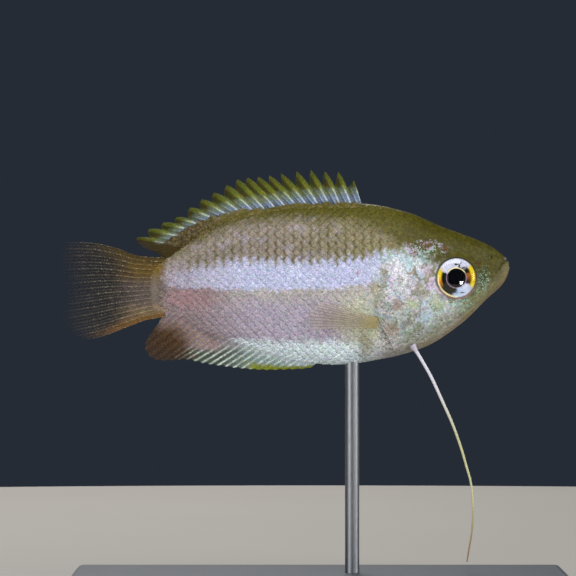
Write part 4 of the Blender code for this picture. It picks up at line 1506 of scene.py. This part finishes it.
def feeler_material():
    """Cream thread that turns olive-yellow and then brown at its thin tip."""
    desk = NodeDesk("feeler_thread")
    colour = desk.mix(desk.z.fade(17.0, 25.5), THREAD_LIME, THREAD_WHITE)
    colour = desk.mix(desk.z.fade(13.0, 5.0), colour, THREAD_BROWN)
    colour = desk.mix(desk.z.fade(27.4, 28.4), colour, THREAD_FOOT)
    joints = (desk.z * 2.4).math("FRACT")
    colour = desk.shade(colour, joints.fade(0.7, 0.95).scaled(1.0, 0.86))
    desk.bump(desk.noise(6.0, 2.0), 0.02, 0.5)
    return desk.finish(colour, Roughness=0.4, Coat_Weight=0.2)


class GOURAMI_OT_feelers(bpy.types.Operator):
    """Make the two thread-like pelvic fins, each on a small knob of flesh"""

    bl_idname = "gourami.feelers"
    bl_label = "Feelers"

    def execute(self, context):
        material = feeler_material()
        route = path_points(FEELER_ROUTE, FEELER_POINTS)
        shares = np.linspace(0.0, 1.0, FEELER_POINTS)
        for side, sign in SIDES:
            y = sign * (FEELER_Y + (FEELER_SPREAD_Y - FEELER_Y) * shares)
            scale = 1.0 if sign < 0.0 else 1.0 + 2.0 * y / VIEW_DISTANCE
            x = VIEW_X + (route[:, 0] - VIEW_X) * scale
            z = VIEW_HEIGHT + (route[:, 1] - VIEW_HEIGHT) * scale
            thread = bpy.data.curves.new("feeler_" + side, "CURVE")
            thread.dimensions = "3D"
            thread.bevel_depth = MM
            thread.bevel_resolution = 3
            thread.use_fill_caps = True
            spline = thread.splines.new("POLY")
            spline.points.add(FEELER_POINTS - 1)
            for index, point in enumerate(spline.points):
                point.co = (x[index] * MM, y[index] * MM, z[index] * MM, 1.0)
                taper = FEELER_TAPER * (1.0 - shares[index]) ** 0.75 + FEELER_TIP
                point.radius = taper + FEELER_KNOB * math.exp(-(shares[index] / 0.022) ** 2)
            put_in_scene("feeler_" + side, thread)
            bpy.ops.object.convert(target="MESH")
            feeler = bpy.context.object
            dress(feeler, material, "pelvic_fin_" + side)
        return {"FINISHED"}


def base_material():
    """Honed slate-coloured base with fine flecks."""
    desk = NodeDesk("slate_base")
    grain = desk.noise(2.2, 5.0, roughness=0.7)
    colour = desk.mix(grain.fade(0.42, 0.62), tint(66, 72, 80), tint(88, 94, 102))
    desk.bump(desk.noise(4.0, 4.0), 0.02, 0.6)
    return desk.finish(colour, Roughness=grain.remap(0.3, 0.7, 0.42, 0.6))


def rod_material():
    """Brushed steel with fine lines along the rod."""
    desk = NodeDesk("brushed_rod")
    grain = desk.noise(3.0, 3.0, vector=desk.place * (9.0, 9.0, 0.4))
    desk.bump(grain, 0.01, 0.4)
    colour = desk.shade(tint(150, 153, 158), grain.remap(0.3, 0.7, 0.85, 1.05))
    return desk.finish(colour, Roughness=grain.remap(0.3, 0.7, 0.34, 0.5), Metallic=1.0)


class GOURAMI_OT_stand(bpy.types.Operator):
    """Finish the stand's base and make a rod that reaches from the base into the belly"""

    bl_idname = "gourami.stand"
    bl_label = "Stand"

    def execute(self, context):
        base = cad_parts["stand_base"]
        base.data.materials.clear()
        base.data.materials.append(base_material())
        sizes = context.scene.gourami_stand
        foot = sizes.base_top - sizes.rod_sunk
        top = float(belly_height(np.array([sizes.rod_x]))[0]) + sizes.rod_sunk
        deselect()
        bpy.ops.mesh.primitive_cylinder_add(vertices=48, radius=sizes.rod_radius * MM,
                                            depth=(top - foot) * MM,
                                            location=(sizes.rod_x * MM, 0.0, (top + foot) / 2.0 * MM))
        rod = context.object
        rod.name = "support_rod"
        bpy.ops.object.transform_apply(location=True)
        dress(rod, rod_material(), "stand_rod")
        bpy.ops.object.shade_smooth_by_angle(angle=math.radians(40.0))
        return {"FINISHED"}


def softbox(name, place, target, size, power):
    """A square soft light that faces a target."""
    light = bpy.data.lights.new(name, "AREA")
    light.shape = "RECTANGLE"
    light.size, light.size_y = size
    light.energy = power
    made = put_in_scene(name, light)
    made.location = place
    made.rotation_euler = (Vector(target) - Vector(place)).to_track_quat("-Z", "Y").to_euler()


# Soft lights: name, place, target and size in metres, and the setting that holds the power
FISH_MIDDLE = (0.001, 0.0, 0.035)
EYE_MIDDLE = (0.015, 0.0, 0.036)
SOFTBOXES = (
    ("key softbox", (0.06, -0.30, 0.32), FISH_MIDDLE, (0.34, 0.24), "key_power"),
    ("left fill softbox", (-0.30, -0.30, 0.06), FISH_MIDDLE, (0.26, 0.11), "fill_power"),
    ("right fill softbox", (0.42, -0.13, 0.06), FISH_MIDDLE, (0.26, 0.11), "fill_power"),
    ("rim softbox", (-0.10, 0.30, 0.26), FISH_MIDDLE, (0.30, 0.16), "rim_power"),
    ("eye light", (0.069, -0.10, 0.0236), EYE_MIDDLE, (0.0093, 0.0093), "eye_power"),
)
SKY_LIGHT = (0.86, 0.91, 1.0)
SKY_STRENGTH = 0.24
FLOOR_DEPTH = 0.006


def studio_world(backdrop):
    """A pale even light all round, with the dark backdrop where it is seen or mirrored."""
    world = bpy.data.worlds.new("studio")
    world.use_nodes = True
    tree = world.node_tree
    soft = tree.nodes["Background"]
    soft.inputs["Color"].default_value = (*SKY_LIGHT, 1.0)
    soft.inputs["Strength"].default_value = SKY_STRENGTH
    behind = tree.nodes.new("ShaderNodeBackground")
    behind.inputs["Color"].default_value = (*backdrop, 1.0)
    seen = tree.nodes.new("ShaderNodeLightPath")
    darker = tree.nodes.new("ShaderNodeMath")
    darker.operation = "MAXIMUM"
    choose = tree.nodes.new("ShaderNodeMixShader")
    for start, end in ((seen.outputs["Is Camera Ray"], darker.inputs[0]),
                       (seen.outputs["Is Glossy Ray"], darker.inputs[1]),
                       (darker.outputs[0], choose.inputs[0]), (soft.outputs[0], choose.inputs[1]),
                       (behind.outputs[0], choose.inputs[2]),
                       (choose.outputs[0], tree.nodes["World Output"].inputs["Surface"])):
        tree.links.new(start, end)
    return world


def photo_camera():
    """The camera at the photograph's viewing angle."""
    lens = bpy.data.cameras.new("photo view")
    lens.sensor_width = SENSOR
    lens.lens = SENSOR * VIEW_DISTANCE / (FRAME_PIXELS * PIXEL)
    lens.clip_start = 0.005
    lens.clip_end = 20.0
    camera = put_in_scene("photo view", lens)
    camera.location = (VIEW_X * MM, -VIEW_DISTANCE * MM, VIEW_HEIGHT * MM)
    camera.rotation_euler = (math.pi / 2.0, 0.0, 0.0)
    return camera


class GOURAMI_OT_stage(bpy.types.Operator):
    """Set the floor, the backdrop, the softboxes and the camera"""

    bl_idname = "gourami.stage"
    bl_label = "Stage"

    def execute(self, context):
        scene = context.scene
        stage = scene.gourami_stage
        deselect()
        bpy.ops.mesh.primitive_cylinder_add(vertices=160, radius=stage.floor_radius, depth=FLOOR_DEPTH,
                                            location=(0.0, 0.0, -FLOOR_DEPTH / 2.0))
        floor = context.object
        floor.name = "floor"
        bpy.ops.object.transform_apply(location=True)
        desk = NodeDesk("pale_floor")
        grain = desk.noise(0.02, 2.0).remap(0.3, 0.7, 0.985, 1.015)
        floor.data.materials.append(desk.finish(desk.shade(tuple(stage.floor), grain), Roughness=0.7))

        for name, place, target, size, power in SOFTBOXES:
            softbox(name, place, target, size, getattr(stage, power))
        scene.world = studio_world(stage.backdrop)
        scene.view_settings.view_transform = "Standard"
        scene.camera = photo_camera()
        return {"FINISHED"}


class GOURAMI_PT_panel(bpy.types.Panel):
    """Buttons for every piece of the model"""

    bl_idname = "GOURAMI_PT_panel"
    bl_label = "Honey Gourami"
    bl_space_type = "VIEW_3D"
    bl_region_type = "UI"
    bl_category = "Gourami"

    def draw(self, context):
        for operator in OPERATORS:
            self.layout.operator(operator.bl_idname)
        for group, _ in GROUPS:
            settings = getattr(context.scene, group)
            box = self.layout.box()
            for name in settings.bl_rna.properties.keys():
                if name not in ("rna_type", "name"):
                    box.prop(settings, name)


GROUPS = (
    ("gourami_body", GouramiBodySizes),
    ("gourami_scales", GouramiScaleSizes),
    ("gourami_eye", GouramiEyeSizes),
    ("gourami_fins", GouramiFinSizes),
    ("gourami_stand", GouramiStandSizes),
    ("gourami_stage", GouramiStageSizes),
)
OPERATORS = (
    GOURAMI_OT_skin,
    GOURAMI_OT_scales,
    GOURAMI_OT_eyes,
    GOURAMI_OT_dorsal_fin,
    GOURAMI_OT_anal_fin,
    GOURAMI_OT_caudal_fin,
    GOURAMI_OT_pectoral_fins,
    GOURAMI_OT_feelers,
    GOURAMI_OT_stand,
    GOURAMI_OT_stage,
)


def register():
    for name, group in GROUPS:
        bpy.utils.register_class(group)
        setattr(bpy.types.Scene, name, bpy.props.PointerProperty(type=group))
    for operator in OPERATORS:
        bpy.utils.register_class(operator)
    bpy.utils.register_class(GOURAMI_PT_panel)


def unregister():
    bpy.utils.unregister_class(GOURAMI_PT_panel)
    for operator in reversed(OPERATORS):
        bpy.utils.unregister_class(operator)
    for name, group in reversed(GROUPS):
        delattr(bpy.types.Scene, name)
        bpy.utils.unregister_class(group)


def main():
    register()
    bpy.ops.gourami.skin()
    bpy.ops.gourami.scales()
    bpy.ops.gourami.eyes()
    bpy.ops.gourami.dorsal_fin()
    bpy.ops.gourami.anal_fin()
    bpy.ops.gourami.caudal_fin()
    bpy.ops.gourami.pectoral_fins()
    bpy.ops.gourami.feelers()
    bpy.ops.gourami.stand()
    bpy.ops.gourami.stage()


if __name__ == "__main__":
    main()
